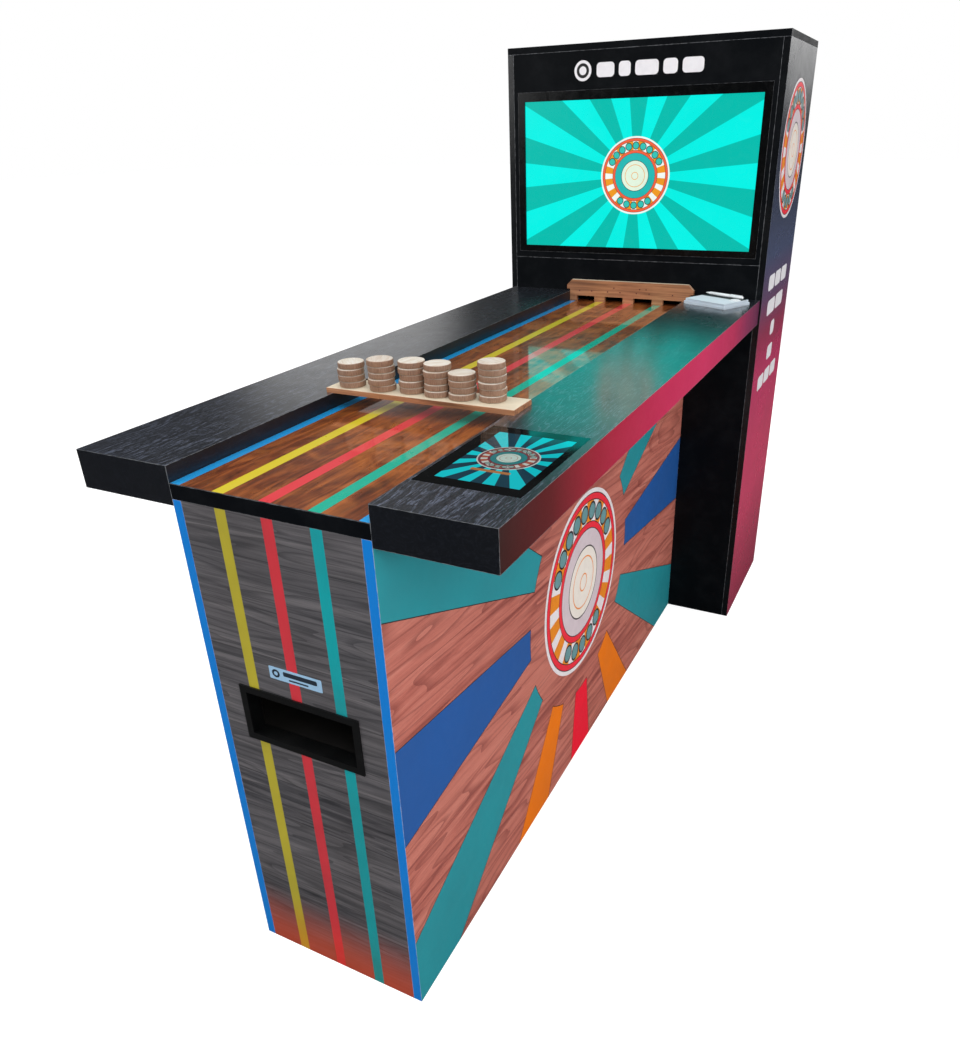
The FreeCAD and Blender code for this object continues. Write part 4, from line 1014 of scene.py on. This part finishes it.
@dataclass
class Shell:
    """A piece in the making: its points, its faces and the number of each face's material."""

    points: list[Vector] = field(default_factory=list)
    faces: list[list[int]] = field(default_factory=list)
    indices: list[int] = field(default_factory=list)

    def add_tube(self, rings: Sequence[Sequence[Vector]]) -> None:
        """Adds rings of points with faces between them, closed at both ends.

        Args:
            rings: The rings, from the first end to the last.
        """
        first, count = len(self.points), len(rings[0])
        for level, ring in enumerate(rings):
            start = first + level * count
            self.points += ring
            for step in range(count if level else 0):
                after = (step + 1) % count
                self.faces.append([start - count + step, start - count + after, start + after, start + step])
        self.faces.append(list(range(first, first + count))[::-1])
        self.faces.append(list(range(start, start + count)))

    def add_slab(self, place: Matrix, half: Pair, low: float, high: float, corner: float = 2 * MM) -> None:
        """Adds a thin plate with rounded corners.

        Args:
            place: The plate's own axes.
            half: Half its length and half its width.
            low: Its lower face along its own axis.
            high: Its upper face along its own axis.
            corner: The radius of its corners.
        """
        loop = outline(2 * half[0], 2 * half[1], corner, 4)
        self.add_tube([[place @ Vector((*spot, level)) for spot in loop] for level in (low, high)])

    def build(self, name: str, materials: Sequence[Material], smooth: bool = False,
              film: float = 0.0) -> Piece:
        """Makes the piece.

        Args:
            name: The piece's name.
            materials: Its materials.
            smooth: Whether its rounded faces shade smoothly.
            film: The thickness that a flat print gets behind its face.

        Returns:
            The new object.
        """
        mesh = bpy.data.meshes.new(name)
        mesh.from_pydata(self.points, [], self.faces)
        for material in materials:
            mesh.materials.append(material)
        if self.indices:
            mesh.polygons.foreach_set("material_index", self.indices)
        if smooth:
            mesh.shade_smooth()
            mesh.set_sharp_from_angle(angle=math.radians(40))
        mesh.validate()
        mesh.update()
        piece = bpy.data.objects.new(name, mesh)
        bpy.context.scene.collection.objects.link(piece)
        if film:
            modifier = piece.modifiers.new("film", "SOLIDIFY")
            modifier.thickness = film
            modifier.offset = -1.0
            thick = piece.evaluated_get(bpy.context.evaluated_depsgraph_get())
            solid = bpy.data.meshes.new_from_object(thick)
            piece.modifiers.clear()
            piece.data = solid
        return piece


def place_piece(piece: Piece, body: str, slot: str, *replaced: str) -> None:
    """Hangs a piece on its body and hides the plain pieces that it stands for.

    Args:
        piece: The piece.
        body: The body's name.
        slot: The finish's name in the record; not used.
        replaced: The names of the plain pieces.
    """
    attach(piece, body)
    if replaced:
        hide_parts(*replaced)
    LOG.info("%s rides on %s: %d faces", piece.name, body, len(piece.data.polygons))


@dataclass(frozen=True)
class Ring:
    """One ring of a round print: its outer radius as a share, and the inks that take turns round it."""

    outer: float
    inks: tuple[Ink, ...]
    sectors: int = 1


@dataclass(frozen=True)
class Disc:
    """A round of film: where it lies, how large it is, and its rings from the outermost to the middle."""

    centre: Pair
    radius: float
    rings: tuple[Ring, ...]
    lift: float = 0.3 * MM
    steps: int = 144
    turn: float = 0.0

    def ring(self, plane: Plane, share: float) -> list[Vector]:
        """Returns the points of the ring at this share of the radius."""
        return [plane.point(self.centre[0] + across, self.centre[1] + up, self.lift)
                for across, up in circle(share * self.radius, self.steps, math.radians(self.turn))]


@dataclass
class RoundPrint:
    """A print made of discs of film on the cabinet, each cut on its own polar grid, as one piece."""

    name: str
    plane: Plane
    slot: str
    discs: Sequence[Disc]
    film: float = 0.2 * MM

    def build(self) -> None:
        """Builds the print as thin closed films."""
        inks = list(dict.fromkeys(ink for disc in self.discs for ring in disc.rings for ink in ring.inks))
        shell = Shell()
        for disc in self.discs:
            middle = len(shell.points)
            shell.points.append(self.plane.point(*disc.centre, disc.lift))
            for level, ring in enumerate(disc.rings[::-1]):
                start = len(shell.points)
                shell.points += disc.ring(self.plane, ring.outer)
                for step in range(disc.steps):
                    here, after = start + step, start + (step + 1) % disc.steps
                    inner = (after - disc.steps, here - disc.steps) if level else (middle,)
                    shell.faces.append([here, after, *inner])
                    pick = int(step * ring.sectors / disc.steps) % len(ring.inks)
                    shell.indices.append(inks.index(ring.inks[pick]))
        piece = shell.build(self.name, [ink.make() for ink in inks], film=self.film)
        place_piece(piece, "cabinet", self.slot)


@dataclass
class BlockPrint:
    """Plain bars of film with rounded ends on the cabinet, such as the stand-ins for a line of print."""

    name: str
    plane: Plane
    slot: str
    bars: Sequence[tuple[float, float, float, float]]
    ink: Ink
    lift: float = 0.3 * MM
    film: float = 0.2 * MM
    corner: float = 0.3

    def build(self) -> None:
        """Builds every bar, each given by its centre, width and height."""
        shell = Shell()
        for across, up, width, height in self.bars:
            first = len(shell.points)
            shell.points += [self.plane.point(across + x, up + y, self.lift)
                             for x, y in outline(width, height, self.corner * min(width, height), 5)]
            shell.faces.append(list(range(first, len(shell.points))))
        place_piece(shell.build(self.name, [self.ink.make()], film=self.film), "cabinet", self.slot)


@dataclass
class Medallion:
    """A round badge in the style of a game: ring, coloured blocks, studs and a plain puck in the middle."""

    name: str
    plane: Plane
    centre: Pair
    radius: float
    slot: str
    glow: float = 0.0
    colours: tuple[str, ...] = ("#E9E2E4", "#D6C6CC", "#EC8A12", "#F0283C", "#6A979B", "#EFE6DC", "#33262C")
    blocks: int = 32

    def build(self) -> None:
        """Builds the badge and its studs as one piece."""
        parts = ("white", "ground", "orange", "red", "stud", "puck", "dark")
        white, ground, orange, red, stud, puck, dark = (
            Ink(f"{part}_{self.name}", colour, self.glow) for part, colour in zip(parts, self.colours))
        rings = (Ring(1.0, (white,)), Ring(0.955, (dark,)), Ring(0.945, (red,)), Ring(0.885, (dark,)),
                 Ring(0.875, (orange, white), self.blocks), Ring(0.655, (dark,)), Ring(0.645, (red,)),
                 Ring(0.585, (dark,)), Ring(0.575, (ground,)), Ring(0.40, (dark,)), Ring(0.385, (puck,)),
                 Ring(0.29, (orange,)), Ring(0.275, (puck,)), Ring(0.10, (orange,)), Ring(0.085, (puck,)))
        discs = [Disc(self.centre, self.radius, rings, turn=5.6)]
        for middle, spread, count in ((90, 62, 9), (270, 32, 5)):
            for index in range(count):
                angle = math.radians(middle + spread * (2 * index / (count - 1) - 1))
                spot = (self.centre[0] + 0.765 * self.radius * math.cos(angle),
                        self.centre[1] + 0.765 * self.radius * math.sin(angle))
                discs.append(Disc(spot, 0.1 * self.radius, (Ring(1.0, (dark,)), Ring(0.8, (stud,))),
                                  lift=0.5 * MM, steps=32))
        RoundPrint(self.name, self.plane, self.slot, discs).build()


@dataclass
class PuckStack:
    """One stack of turned pucks, each set down a little off the one below."""

    GRAIN_PLACE = "grain_place"
    TONE = "tone"

    number: int
    radius: float = 26 * MM
    thickness: float = 12.2 * MM
    rounding: float = 2.4 * MM
    air: float = 0.12 * MM
    sway: float = 1.6 * MM
    steps: int = 72

    def profile(self) -> list[Pair]:
        """Returns radius and height along one side of a puck, from its lower face to its upper face.

        Returns:
            The points.
        """
        height = self.thickness - self.air
        flat = self.radius - self.rounding
        line = [(flat * 0.5, self.air)]
        for step in range(7):
            angle = math.radians(-90 + 15 * step)
            line.append((flat + self.rounding * math.cos(angle),
                         self.air + self.rounding * (1 + math.sin(angle))))
        return line + [(radius, height + self.air - level) for radius, level in line[::-1]]

    def build(self, finish: Finish) -> None:
        """Builds the stack in place of its plain one.

        Args:
            finish: The finish.
        """
        node = f"puck_stack_{self.number}"
        low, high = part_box(node)
        middle = (low + high) / 2
        chance = random.Random(40 + self.number)
        shell, line = Shell(), self.profile()
        local: list[float] = []
        tones: list[float] = []
        for level in range(round((high[2] - low[2]) / self.thickness)):
            sway = math.sin(2.4 * level + self.number)
            centre = Vector((middle[0] + 0.4 * MM * sway, middle[1] + self.sway * sway,
                             low[2] + level * self.thickness))
            turn = chance.uniform(0, 2 * math.pi)
            tone = max(0.0, chance.gauss(0.12, 0.12))
            shell.add_tube([[centre + Vector((x, y, height)) for x, y in circle(radius, self.steps)]
                            for radius, height in line])
            local += [part for radius, height in line for x, y in circle(radius, self.steps, turn)
                      for part in (x, y + level, height + 0.3 * level)]
            tones += [tone] * (len(line) * self.steps)
        stack = shell.build(f"maple_pucks_{self.number}", [finish.make(node)], smooth=True)
        for name, kind, field_name, values in ((self.GRAIN_PLACE, "FLOAT_VECTOR", "vector", local),
                                               (self.TONE, "FLOAT", "value", tones)):
            stack.data.attributes.new(name, kind, "POINT").data.foreach_set(field_name, values)
        place_piece(stack, f"stack_{self.number}", "puck_maple", node)


@dataclass
class ScorePads:
    """Two glued pads of score sheets with a card band, and the pen that lies on them."""

    length: float = 150 * MM
    width: float = 112 * MM
    thickness: float = 7 * MM
    turn: float = math.radians(-27.0)
    sheets: int = 11
    pen_length: float = 131 * MM
    pen_radius: float = 4.4 * MM

    def build(self) -> None:
        """Builds the pads, the band, the clip and the pen."""
        low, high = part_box("score_pads")
        centre = (low + high) / 2
        place = Matrix.Translation((centre[0], centre[1], low[2])) @ Matrix.Rotation(self.turn, 4, "Z")
        chance = random.Random(11)
        shell = Shell()
        step = self.thickness / self.sheets
        for pad, shrink in enumerate((0.0, 3 * MM)):
            for sheet in range(self.sheets):
                slip = Matrix.Translation((chance.uniform(-1, 1) * 0.9 * MM,
                                           chance.uniform(-1, 1) * 0.9 * MM, 0))
                lean = Matrix.Rotation(math.radians(chance.uniform(-0.5, 0.5)), 4, "Z")
                bottom = pad * self.thickness + sheet * step
                shell.add_slab(place @ slip @ lean,
                               (self.length / 2 - 1.5 * MM - shrink, self.width / 2 - 1.5 * MM - shrink),
                               bottom, bottom + step * 0.8, 3 * MM)
        pads = shell.build("score_sheets", [Paper().make("score_sheets")])
        place_piece(pads, "loose_pads", "paper", "score_pads")
        self.card(place)
        self.pen()

    def card(self, place: Matrix) -> None:
        """Builds the dark card band across the pads and the white clip at its end.

        Args:
            place: The place.
        """
        top = 2 * self.thickness
        shell = Shell()
        band = place @ Matrix.Translation((0, self.width / 2 - 24 * MM, top))
        shell.add_slab(band, (self.length / 2 - 7 * MM, 15 * MM), 0.05 * MM, 0.9 * MM)
        card = MouldedPlastic("card", "#12282A", (0.35, 0.5)).make("score_band")
        place_piece(shell.build("score_band", [card]), "loose_pads", "paper")
        shell = Shell()
        clip = place @ Matrix.Translation((self.length / 2 - 20 * MM, self.width / 2 - 44 * MM, top))
        for width, low, high in ((10.0, 0.05, 2.2), (7.5, 2.2, 3.4), (5.0, 3.4, 4.0)):
            shell.add_slab(clip, (1.3 * width * MM, width * MM), low * MM, high * MM, 3 * MM)
        white = MouldedPlastic("clip", "#E6E9EC", (0.3, 0.45)).make("score_clip")
        place_piece(shell.build("score_clip", [white]), "loose_pads", "paper")

    def pen(self) -> None:
        """Builds the pen as a turned barrel with a tip, a cap ring and a clip."""
        low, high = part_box("pen")
        place = Matrix.Translation((low + high) / 2) @ Matrix.Rotation(self.turn, 4, "Z")
        half, radius = self.pen_length / 2, self.pen_radius
        tip = ((0, 0.25), (2, 0.3), (11, 0.78), (13, 0.92), (30, 0.9), (31, 0.97))
        cap = ((46, 1.0), (45.5, 0.93), (44.5, 0.93), (44, 1.0), (4, 0.97), (1, 0.8), (0, 0.45))
        profile = [(-half + along * MM, share) for along, share in tip]
        profile += [(half - along * MM, share) for along, share in cap]
        shell = Shell()
        shell.add_tube([[place @ Vector((along, *spot)) for spot in circle(share * radius, 28)]
                        for along, share in profile])
        clip = place @ Matrix.Translation((half - 23 * MM, 0, radius * 0.99))
        shell.add_slab(clip, (20 * MM, 1.6 * MM), 0.0, 1.1 * MM, 1.5 * MM)
        plastic = MouldedPlastic("pen", "#E4E8EB", (0.2, 0.32), 0.4, 0.01).make("score_pen")
        place_piece(shell.build("score_pen", [plastic], smooth=True), "loose_pen", "pen_plastic", "pen")


@dataclass
class Screws:
    """A set of cap screws with a hexagon socket, on one plane."""

    name: str
    plane: Plane
    spots: Sequence[Pair]
    body: str
    slot: str
    finish: Finish
    radius: float
    height: float
    steps: int = 24

    def build(self) -> None:
        """Builds every head with its domed rim and its socket."""
        domed = ((1.0, 0.0), (1.0, 0.35), (0.9, 0.75), (0.72, 1.0))
        socket = ((0.45, 0.95), (0.45, 0.3))
        shell = Shell()
        for spot in self.spots:
            shell.add_tube([self.ring(spot, *rim, sides == 6) for sides, rims in ((0, domed), (6, socket))
                            for rim in rims])
        piece = shell.build(self.name, [self.finish.make(self.name)], smooth=True)
        place_piece(piece, self.body, self.slot)

    def ring(self, spot: Pair, share: float, level: float, hexagon: bool) -> list[Vector]:
        """Returns the points of one ring of a head, round or six-sided.

        Args:
            spot: The middle of the head on the plane.
            share: The ring's radius as a share of the head's.
            level: Its height as a share.
            hexagon: Whether it is six-sided.

        Returns:
            The points.
        """
        points = []
        for step in range(self.steps):
            angle = 2 * math.pi * step / self.steps
            radius = share * self.radius
            if hexagon:
                radius *= math.cos(math.pi / 6) / math.cos(angle % (math.pi / 3) - math.pi / 6)
            points.append(self.plane.point(spot[0] + radius * math.cos(angle),
                                           spot[1] + radius * math.sin(angle), level * self.height))
        return points


class Side(Enum):
    """The left or the right of the table, as the player sees it."""

    LEFT = -1
    RIGHT = 1

    def plane(self, x: float) -> Plane:
        """Returns the upright plane at this distance from the middle, facing out."""
        return Plane(Vector((self.value * x, 0, 0)), Vector((0, self.value, 0)), Vector((0, 0, 1)))


@dataclass
class Cabinet:
    """The boards, rails, tower and fittings that keep their CAD shapes and get their finishes here."""

    finishes: dict[str, Finish] = field(default_factory=lambda: {
        "printed_side": SunburstPrint(),
        "printed_front": StripedPrint(),
        "plain_board": Chipboard(),
        "softwood": SolidWood(Grain(400, 12, "#E4C896", "#D6B37C", "#B98C54", along=0)),
        "birch_ply": BirchPlywood(),
        "varnished_lane": VarnishedLane(),
        "edge_band": BoardPaint("#080B10"),
        "black_laminate": WoodgrainLaminate(),
        "black_board": BoardPaint(),
        "printed_tower": TowerPrint(),
        "bracket_steel": PowderCoat(),
        "slot_plastic": MouldedPlastic("surround", "#050607", scuff="#26282A"),
        # The beech's upward faces are painted pale cream: painted light from above.
        "beech": SolidWood(Grain(260, 9, "#C08860", "#A8724E", "#744A30", along=0, pores=0.5,
                                 pore_mm=0.9), "#E2D8C0", 0.88),
        "dot_ink": MouldedPlastic("dot", "#5A2420"),
        "sensor_plastic": MouldedPlastic("sensor", "#0E0F11"),
        "bezel_acrylic": GlossAcrylic(),
        "display_plastic": MouldedPlastic("display", "#1A1B1D"),
        "tablet_shell": MouldedPlastic("tablet", "#202124"),
        "zinc_steel": Metal("zinc_plated_steel", "#B9BBBC", (0.28, 0.5)),
        "lock_chrome": Metal("chrome_plated_zinc", "#D4D6D8", (0.08, 0.2), 0.4, 1),
        "cam_steel": Metal("rolled_steel", "#9A9B9C", (0.35, 0.5)),
        "fan_plastic": MouldedPlastic("fan", "#131416"),
        "computer_case": PowderCoat("#1C1D20"),
        "inlet_plastic": MouldedPlastic("inlet", "#121315"),
        "rocker_plastic": MouldedPlastic("rocker", "#2A0D0D", (0.2, 0.35), 0.5, 0.01, "#A05050"),
    })

    def dress(self) -> None:
        """Gives every CAD piece the finish that the record names for it."""
        for part in frame["record"]["subparts"]:
            finish = self.finishes.get(part["material_slot"])
            if finish:
                dress(part["node"], finish)
                LOG.info("%s has the finish %s", part["node"], part["material_slot"])


@dataclass
class Displays:
    """The lit game display in the tower and the tablet in the right armrest."""

    screen_centre: float = 1.379
    screen_half: Pair = (0.345, 0.197)
    tablet_centre: Pair = (0.2900, -0.8280)
    tablet_half: Pair = (0.0695, 0.108)

    def build(self) -> None:
        """Lights both panes and builds the pictures that they show."""
        dress("display_glass", LitPane(
            "display", Facing.PLAYER, (0.0, 1.380), self.screen_half, (0.0, self.screen_centre), 1.17, -0.5,
            "#00F4E8", "#00BDAE", 1.0, (0.22, 0.4), 0.15))
        dress("tablet_glass", LitPane(
            "tablet", Facing.UPWARD, self.tablet_centre, self.tablet_half, self.tablet_centre, 0.8, 0.0,
            "#06B4BC", "#123442", 1.1, (0.04, 0.12), 0.5))
        Medallion("display_badge", crosswise(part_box("display_glass")[0][1]), (0.0, self.screen_centre), 0.1025,
                  "lit_glass", 1.0, ("#F4FBF6", "#18B9B4", "#F09A18", "#F4603C", "#2FC4B6", "#E4F6E0",
                                     "#202A2E")).build()
        plane = Plane(Vector((0, 0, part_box("tablet_glass")[1][2])), Vector((1, 0, 0)), Vector((0, 1, 0)))
        Medallion("tablet_badge", plane, self.tablet_centre, 0.050, "tablet_glass", 0.75,
                  ("#C9CEC8", "#1A7C80", "#A8503A", "#7A2438", "#8FA6A0", "#BFD6CC", "#151A1E")).build()
        bar = (self.tablet_centre[0] - 0.001, self.tablet_centre[1] - 0.0605, 0.066, 0.008)
        BlockPrint("tablet_banner", plane, "tablet_glass", [bar], Ink("banner", "#B5743A", 0.75),
                   lift=0.6 * MM).build()


@dataclass
class Prints:
    """The films stuck on the outside: side badges, the front label and the marks on the tower."""

    side_centre: Pair = (-0.2345, 0.512)
    side_radius: float = 0.235
    tower_centre: Pair = (0.8305, 1.434)
    tower_radius: float = 0.18
    tower_rows: tuple[tuple[float, int], ...] = ((0.30, 3), (0.26, 2), (0.07, 1), (0.09, 1), (0.30, 3))
    label: Pair = (0.0045, 0.7075)
    label_size: Pair = (0.109, 0.025)
    head_widths: tuple[float, ...] = (0.052, 0.034, 0.066, 0.040, 0.058)
    head_height: float = 1.6485
    white: Ink = Ink("white_vinyl", "#E8E6EA")
    black: Ink = Ink("black_vinyl", "#101113")
    pale: Ink = Ink("label", "#9CC4E4")
    dark: Ink = Ink("label_dark", "#24303E")

    def build(self) -> None:
        """Builds the prints on both sides, the front and the tower."""
        for side in Side:
            word = side.name.lower()
            Medallion(f"side_badge_{word}", side.plane(HALF_LANE),
                      (side.value * self.side_centre[0], self.side_centre[1]), self.side_radius,
                      "printed_side").build()
            Medallion(f"tower_badge_{word}", side.plane(HALF_TOWER),
                      (side.value * self.tower_centre[0], self.tower_centre[1]), self.tower_radius,
                      "printed_tower").build()
            self.tower_bars(side)
        self.front_label()
        self.head_mark()

    def tower_bars(self, side: Side) -> None:
        """Builds five rows of plain white bars under the tower's badge, where print would stand.

        Args:
            side: The side of the table.
        """
        centre = side.value * self.tower_centre[0]
        bars = [(centre - width / 2 + (place + 0.5) * width / count, 1.085 - 0.075 * row,
                 width / count - 0.012, 0.044)
                for row, (width, count) in enumerate(self.tower_rows) for place in range(count)]
        BlockPrint(f"tower_bars_{side.name.lower()}", side.plane(HALF_TOWER), "printed_tower", bars,
                   self.white).build()

    def front_label(self) -> None:
        """Builds the blank pale-blue label over the slot, with a plain bar and a dot."""
        plane = crosswise(FRONT)
        across, up = self.label
        BlockPrint("front_label", plane, "printed_front", [(across, up, *self.label_size)], self.pale,
                   corner=0.08).build()
        bars = [(across + 0.010, up + 0.003, 0.070, 0.009), (across + 0.006, up - 0.007, 0.04, 0.003)]
        BlockPrint("front_label_bars", plane, "printed_front", bars, self.dark, 0.45 * MM, 0.1 * MM).build()
        dot = Disc((across - 0.0405, up), 0.008, (Ring(1.0, (self.dark,)), Ring(0.5, (self.pale,))),
                   0.45 * MM, 40)
        RoundPrint("front_label_dot", plane, "printed_front", [dot], 0.1 * MM).build()

    def head_mark(self) -> None:
        """Builds the tower head's plain white mark: a puck ring and a row of bars."""
        plane = crosswise(TOWER_FRONT)
        rings = (Ring(1.0, (self.white,)), Ring(0.72, (self.black,)), Ring(0.42, (self.white,)))
        ring = Disc((-0.163, self.head_height), 0.0255, rings, steps=64)
        RoundPrint("head_ring", plane, "black_board", [ring]).build()
        bars = []
        across = -0.122
        for width in self.head_widths:
            bars.append((across + width / 2, self.head_height, width, 0.036))
            across += width + 0.013
        BlockPrint("head_bars", plane, "black_board", bars, self.white, corner=0.28).build()


@dataclass
class Fasteners:
    """The screws of the brackets, the hinges and the rear panels."""

    bracket_count: int = 5
    bracket_width: float = 40 * MM
    bracket_steel: float = 4 * MM
    hinge_height: float = 62 * MM
    hinge_leaf: float = 2 * MM
    panel_inset: float = 9 * MM
    black: Finish = Metal("black_zinc", "#2A2B2D", (0.3, 0.5))
    zinc: Finish = Metal("zinc_screw", "#AEB0B2", (0.25, 0.45))

    def build(self) -> None:
        """Builds each set of screws."""
        self.bracket_screws()
        self.hinge_screws()
        self.panel_screws()

    def bracket_screws(self) -> None:
        """Builds two screws in the upright leg of each bracket."""
        for side in (Side.RIGHT, Side.LEFT):
            word = side.name.lower()
            low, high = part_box(f"{word}_rail_brackets")
            first, last = low[1] + self.bracket_width / 2, high[1] - self.bracket_width / 2
            alongs = [first + (last - first) * index / (self.bracket_count - 1)
                      for index in range(self.bracket_count)]
            spots = [(side.value * along, low[2] + rise) for along in alongs for rise in (0.020, 0.075)]
            Screws(f"bracket_screws_{word}", side.plane(HALF_LANE + self.bracket_steel), spots, "cabinet",
                   "bracket_steel", self.black, 4.5 * MM, 2.5 * MM).build()

    def hinge_screws(self) -> None:
        """Builds the screws of both leaves of both hinges."""
        plane = crosswise(TOWER_BACK + self.hinge_leaf, -1)
        for node, body in (("hinge_leaves_fixed", "cabinet"), ("hinge_leaves_door", "rear_door_assembly")):
            low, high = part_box(node)
            across = high[0] - 6 * MM if body == "cabinet" else low[0] + 9 * MM
            spots = [(-across, base + rise * MM) for base in (low[2], high[2] - self.hinge_height)
                     for rise in (10, 31, 52)]
            Screws(f"screws_{node}", plane, spots, body, "zinc_steel", self.zinc, 2.9 * MM, 1.3 * MM).build()

    def panel_screws(self) -> None:
        """Builds the screws round the fixed rear panels."""
        spots = []
        for low, high in map(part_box, ("rear_lower_panel", "rear_upper_panel")):
            spots += [(-across, low[2] + share * (high[2] - low[2]))
                      for across in (low[0] + self.panel_inset, high[0] - self.panel_inset)
                      for share in (0.12, 0.5, 0.88)]
        Screws("rear_panel_screws", crosswise(TOWER_BACK, -1), spots, "cabinet", "black_board", self.black,
               3.6 * MM, 1.4 * MM).build()


@dataclass
class Studio:
    """A pale floor, soft lamps and the camera."""

    camera_place: tuple[float, float, float] = (0.83034, -1.91009, 1.50255)
    right: tuple[float, float, float] = (0.896345, 0.44266, -0.024845)
    up: tuple[float, float, float] = (-0.181187, 0.416879, 0.890721)
    lens: float = 28.50
    shift: Pair = (-0.0238, 0.0286)
    ambient: float = 0.5
    gloss_share: float = 0.035
    floor_half: float = 40.0
    windows: tuple[tuple[float, float, float, float, float], ...] = (
        (127.5, 9.0, 6.0, 9.0, 0.74), (80.0, 14.0, 11.0, 14.5, 1.15), (60.0, 42.0, 8.0, 30.0, 0.6),
        (300.0, 50.0, 8.0, 30.0, 0.4))

    def build(self) -> None:
        """Builds the whole studio."""
        self.floor()
        self.world()
        self.lamp("key_softbox", (2.6, -2.8, 3.0), 2.2, 70)
        self.lamp("side_softbox", (4.0, 0.1, 0.9), 2.2, 52)
        self.lamp("fill_softbox", (-2.8, -2.4, 2.6), 2.4, 50)
        self.lamp("top_softbox", (0.0, -0.6, 4.2), 3.0, 55)
        self.lamp("back_softbox", (0.5, 4.0, 3.2), 2.6, 50)
        self.camera()
        bpy.context.scene.view_settings.view_transform = "Standard"

    def floor(self) -> None:
        """Builds the floor, which the camera sees as white with the table's soft shadow."""
        corners = ((-1, -1), (1, -1), (1, 1), (-1, 1))
        shell = Shell([Vector((x * self.floor_half, y * self.floor_half, -0.5 * MM)) for x, y in corners],
                      [[0, 1, 2, 3]])
        work = Surface("studio_floor", Roughness=0.9)
        rays = work.add("LightPath", out="Is Camera Ray")
        mirror, through = (rays.node.outputs[f"Is {kind} Ray"] for kind in ("Glossy", "Transmission"))
        work.join("Base Color", work.paint("#C4C4C4", (mirror, "#2C2C2C")))
        clear = work.add("Math.MAXIMUM", (rays, through))
        mirrored = work.add("Math.MULTIPLY", (mirror, self.gloss_share))
        seen = work.add("Math.MAXIMUM", (clear, mirrored))
        glow = work.add("Emission", ((1.0, 1.0, 1.0, 1.0), work.add("Math.MULTIPLY", (seen, 0.78))))
        both = work.add("AddShader", (work.shader.outputs[0], glow))
        work.tree.links.new(both, work.tree.nodes["Material Output"].inputs["Surface"])
        shell.build("studio_floor", [work.material])

    def world(self) -> None:
        """Makes the surroundings: white to the camera and through glass, and soft ambient light."""
        world = bpy.data.worlds.new("studio")
        world.use_nodes = True
        nodes = Nodes(world.node_tree)
        paths = nodes.add("LightPath", out="Is Camera Ray")
        mirror, through = (paths.node.outputs[f"Is {kind} Ray"] for kind in ("Glossy", "Transmission"))
        way = nodes.add("TexCoord", out="Generated")
        pale: float | Socket = self.gloss_share
        for around, rise, inner, outer, light in self.windows:
            level, turn = math.radians(rise), math.radians(around)
            centre = (math.cos(level) * math.cos(turn), math.cos(level) * math.sin(turn), math.sin(level))
            toward = nodes.add("VectorMath.DOT_PRODUCT", (way, centre), "Value")
            edges = [math.cos(math.radians(angle)) for angle in (outer, inner)]
            window = nodes.add("MapRange", (toward, *edges, 0.0, light), interpolation_type="SMOOTHSTEP")
            pale = nodes.add("Math.MAXIMUM", (window, pale))
        gloss = nodes.add("Math.MULTIPLY", (mirror, pale))
        ambient = nodes.add("MapRange", (mirror, 0.0, 1.0, self.ambient, 0.0))
        clear = nodes.add("Math.MAXIMUM", (paths, through))
        strength = nodes.add("Math.MAXIMUM", (nodes.add("Math.ADD", (gloss, ambient)), clear))
        background = world.node_tree.nodes["Background"]
        world.node_tree.links.new(strength, background.inputs["Strength"])
        background.inputs["Color"].default_value = (1.0, 1.0, 1.0, 1.0)
        bpy.context.scene.world = world

    def lamp(self, name: str, place: tuple[float, float, float], size: float, power: float) -> None:
        """Adds a softbox that looks at the table's middle.

        Args:
            name: The lamp's name.
            place: Its place in metres.
            size: Its side in metres.
            power: Its power in watts.
        """
        light = bpy.data.lights.new(name, "AREA")
        light.size = size
        light.energy = power
        lamp = bpy.data.objects.new(name, light)
        lamp.location = place
        lamp.rotation_euler = (Vector((0, 0, 0.9)) - Vector(place)).to_track_quat("-Z", "Y").to_euler()
        bpy.context.scene.collection.objects.link(lamp)

    def camera(self) -> None:
        """Adds the camera and makes it the scene's own."""
        lens = bpy.data.cameras.new("camera")
        lens.lens = self.lens
        lens.shift_x, lens.shift_y = self.shift
        lens.clip_start = 0.05
        camera = bpy.data.objects.new("camera", lens)
        right, up = Vector(self.right), Vector(self.up)
        turn = Matrix((right, up, right.cross(up))).transposed().to_4x4()
        camera.matrix_world = Matrix.Translation(self.camera_place) @ turn
        bpy.context.scene.collection.objects.link(camera)
        bpy.context.scene.camera = camera


def main() -> None:
    """Builds the looks, in order."""
    logging.basicConfig(level=logging.INFO, format="%(message)s")
    Studio().build()
    Cabinet().dress()
    Displays().build()
    Prints().build()
    maple = PuckMaple()
    for number in range(1, 7):
        PuckStack(number).build(maple)
    ScorePads().build()
    Fasteners().build()


if __name__ == "__main__":
    main()
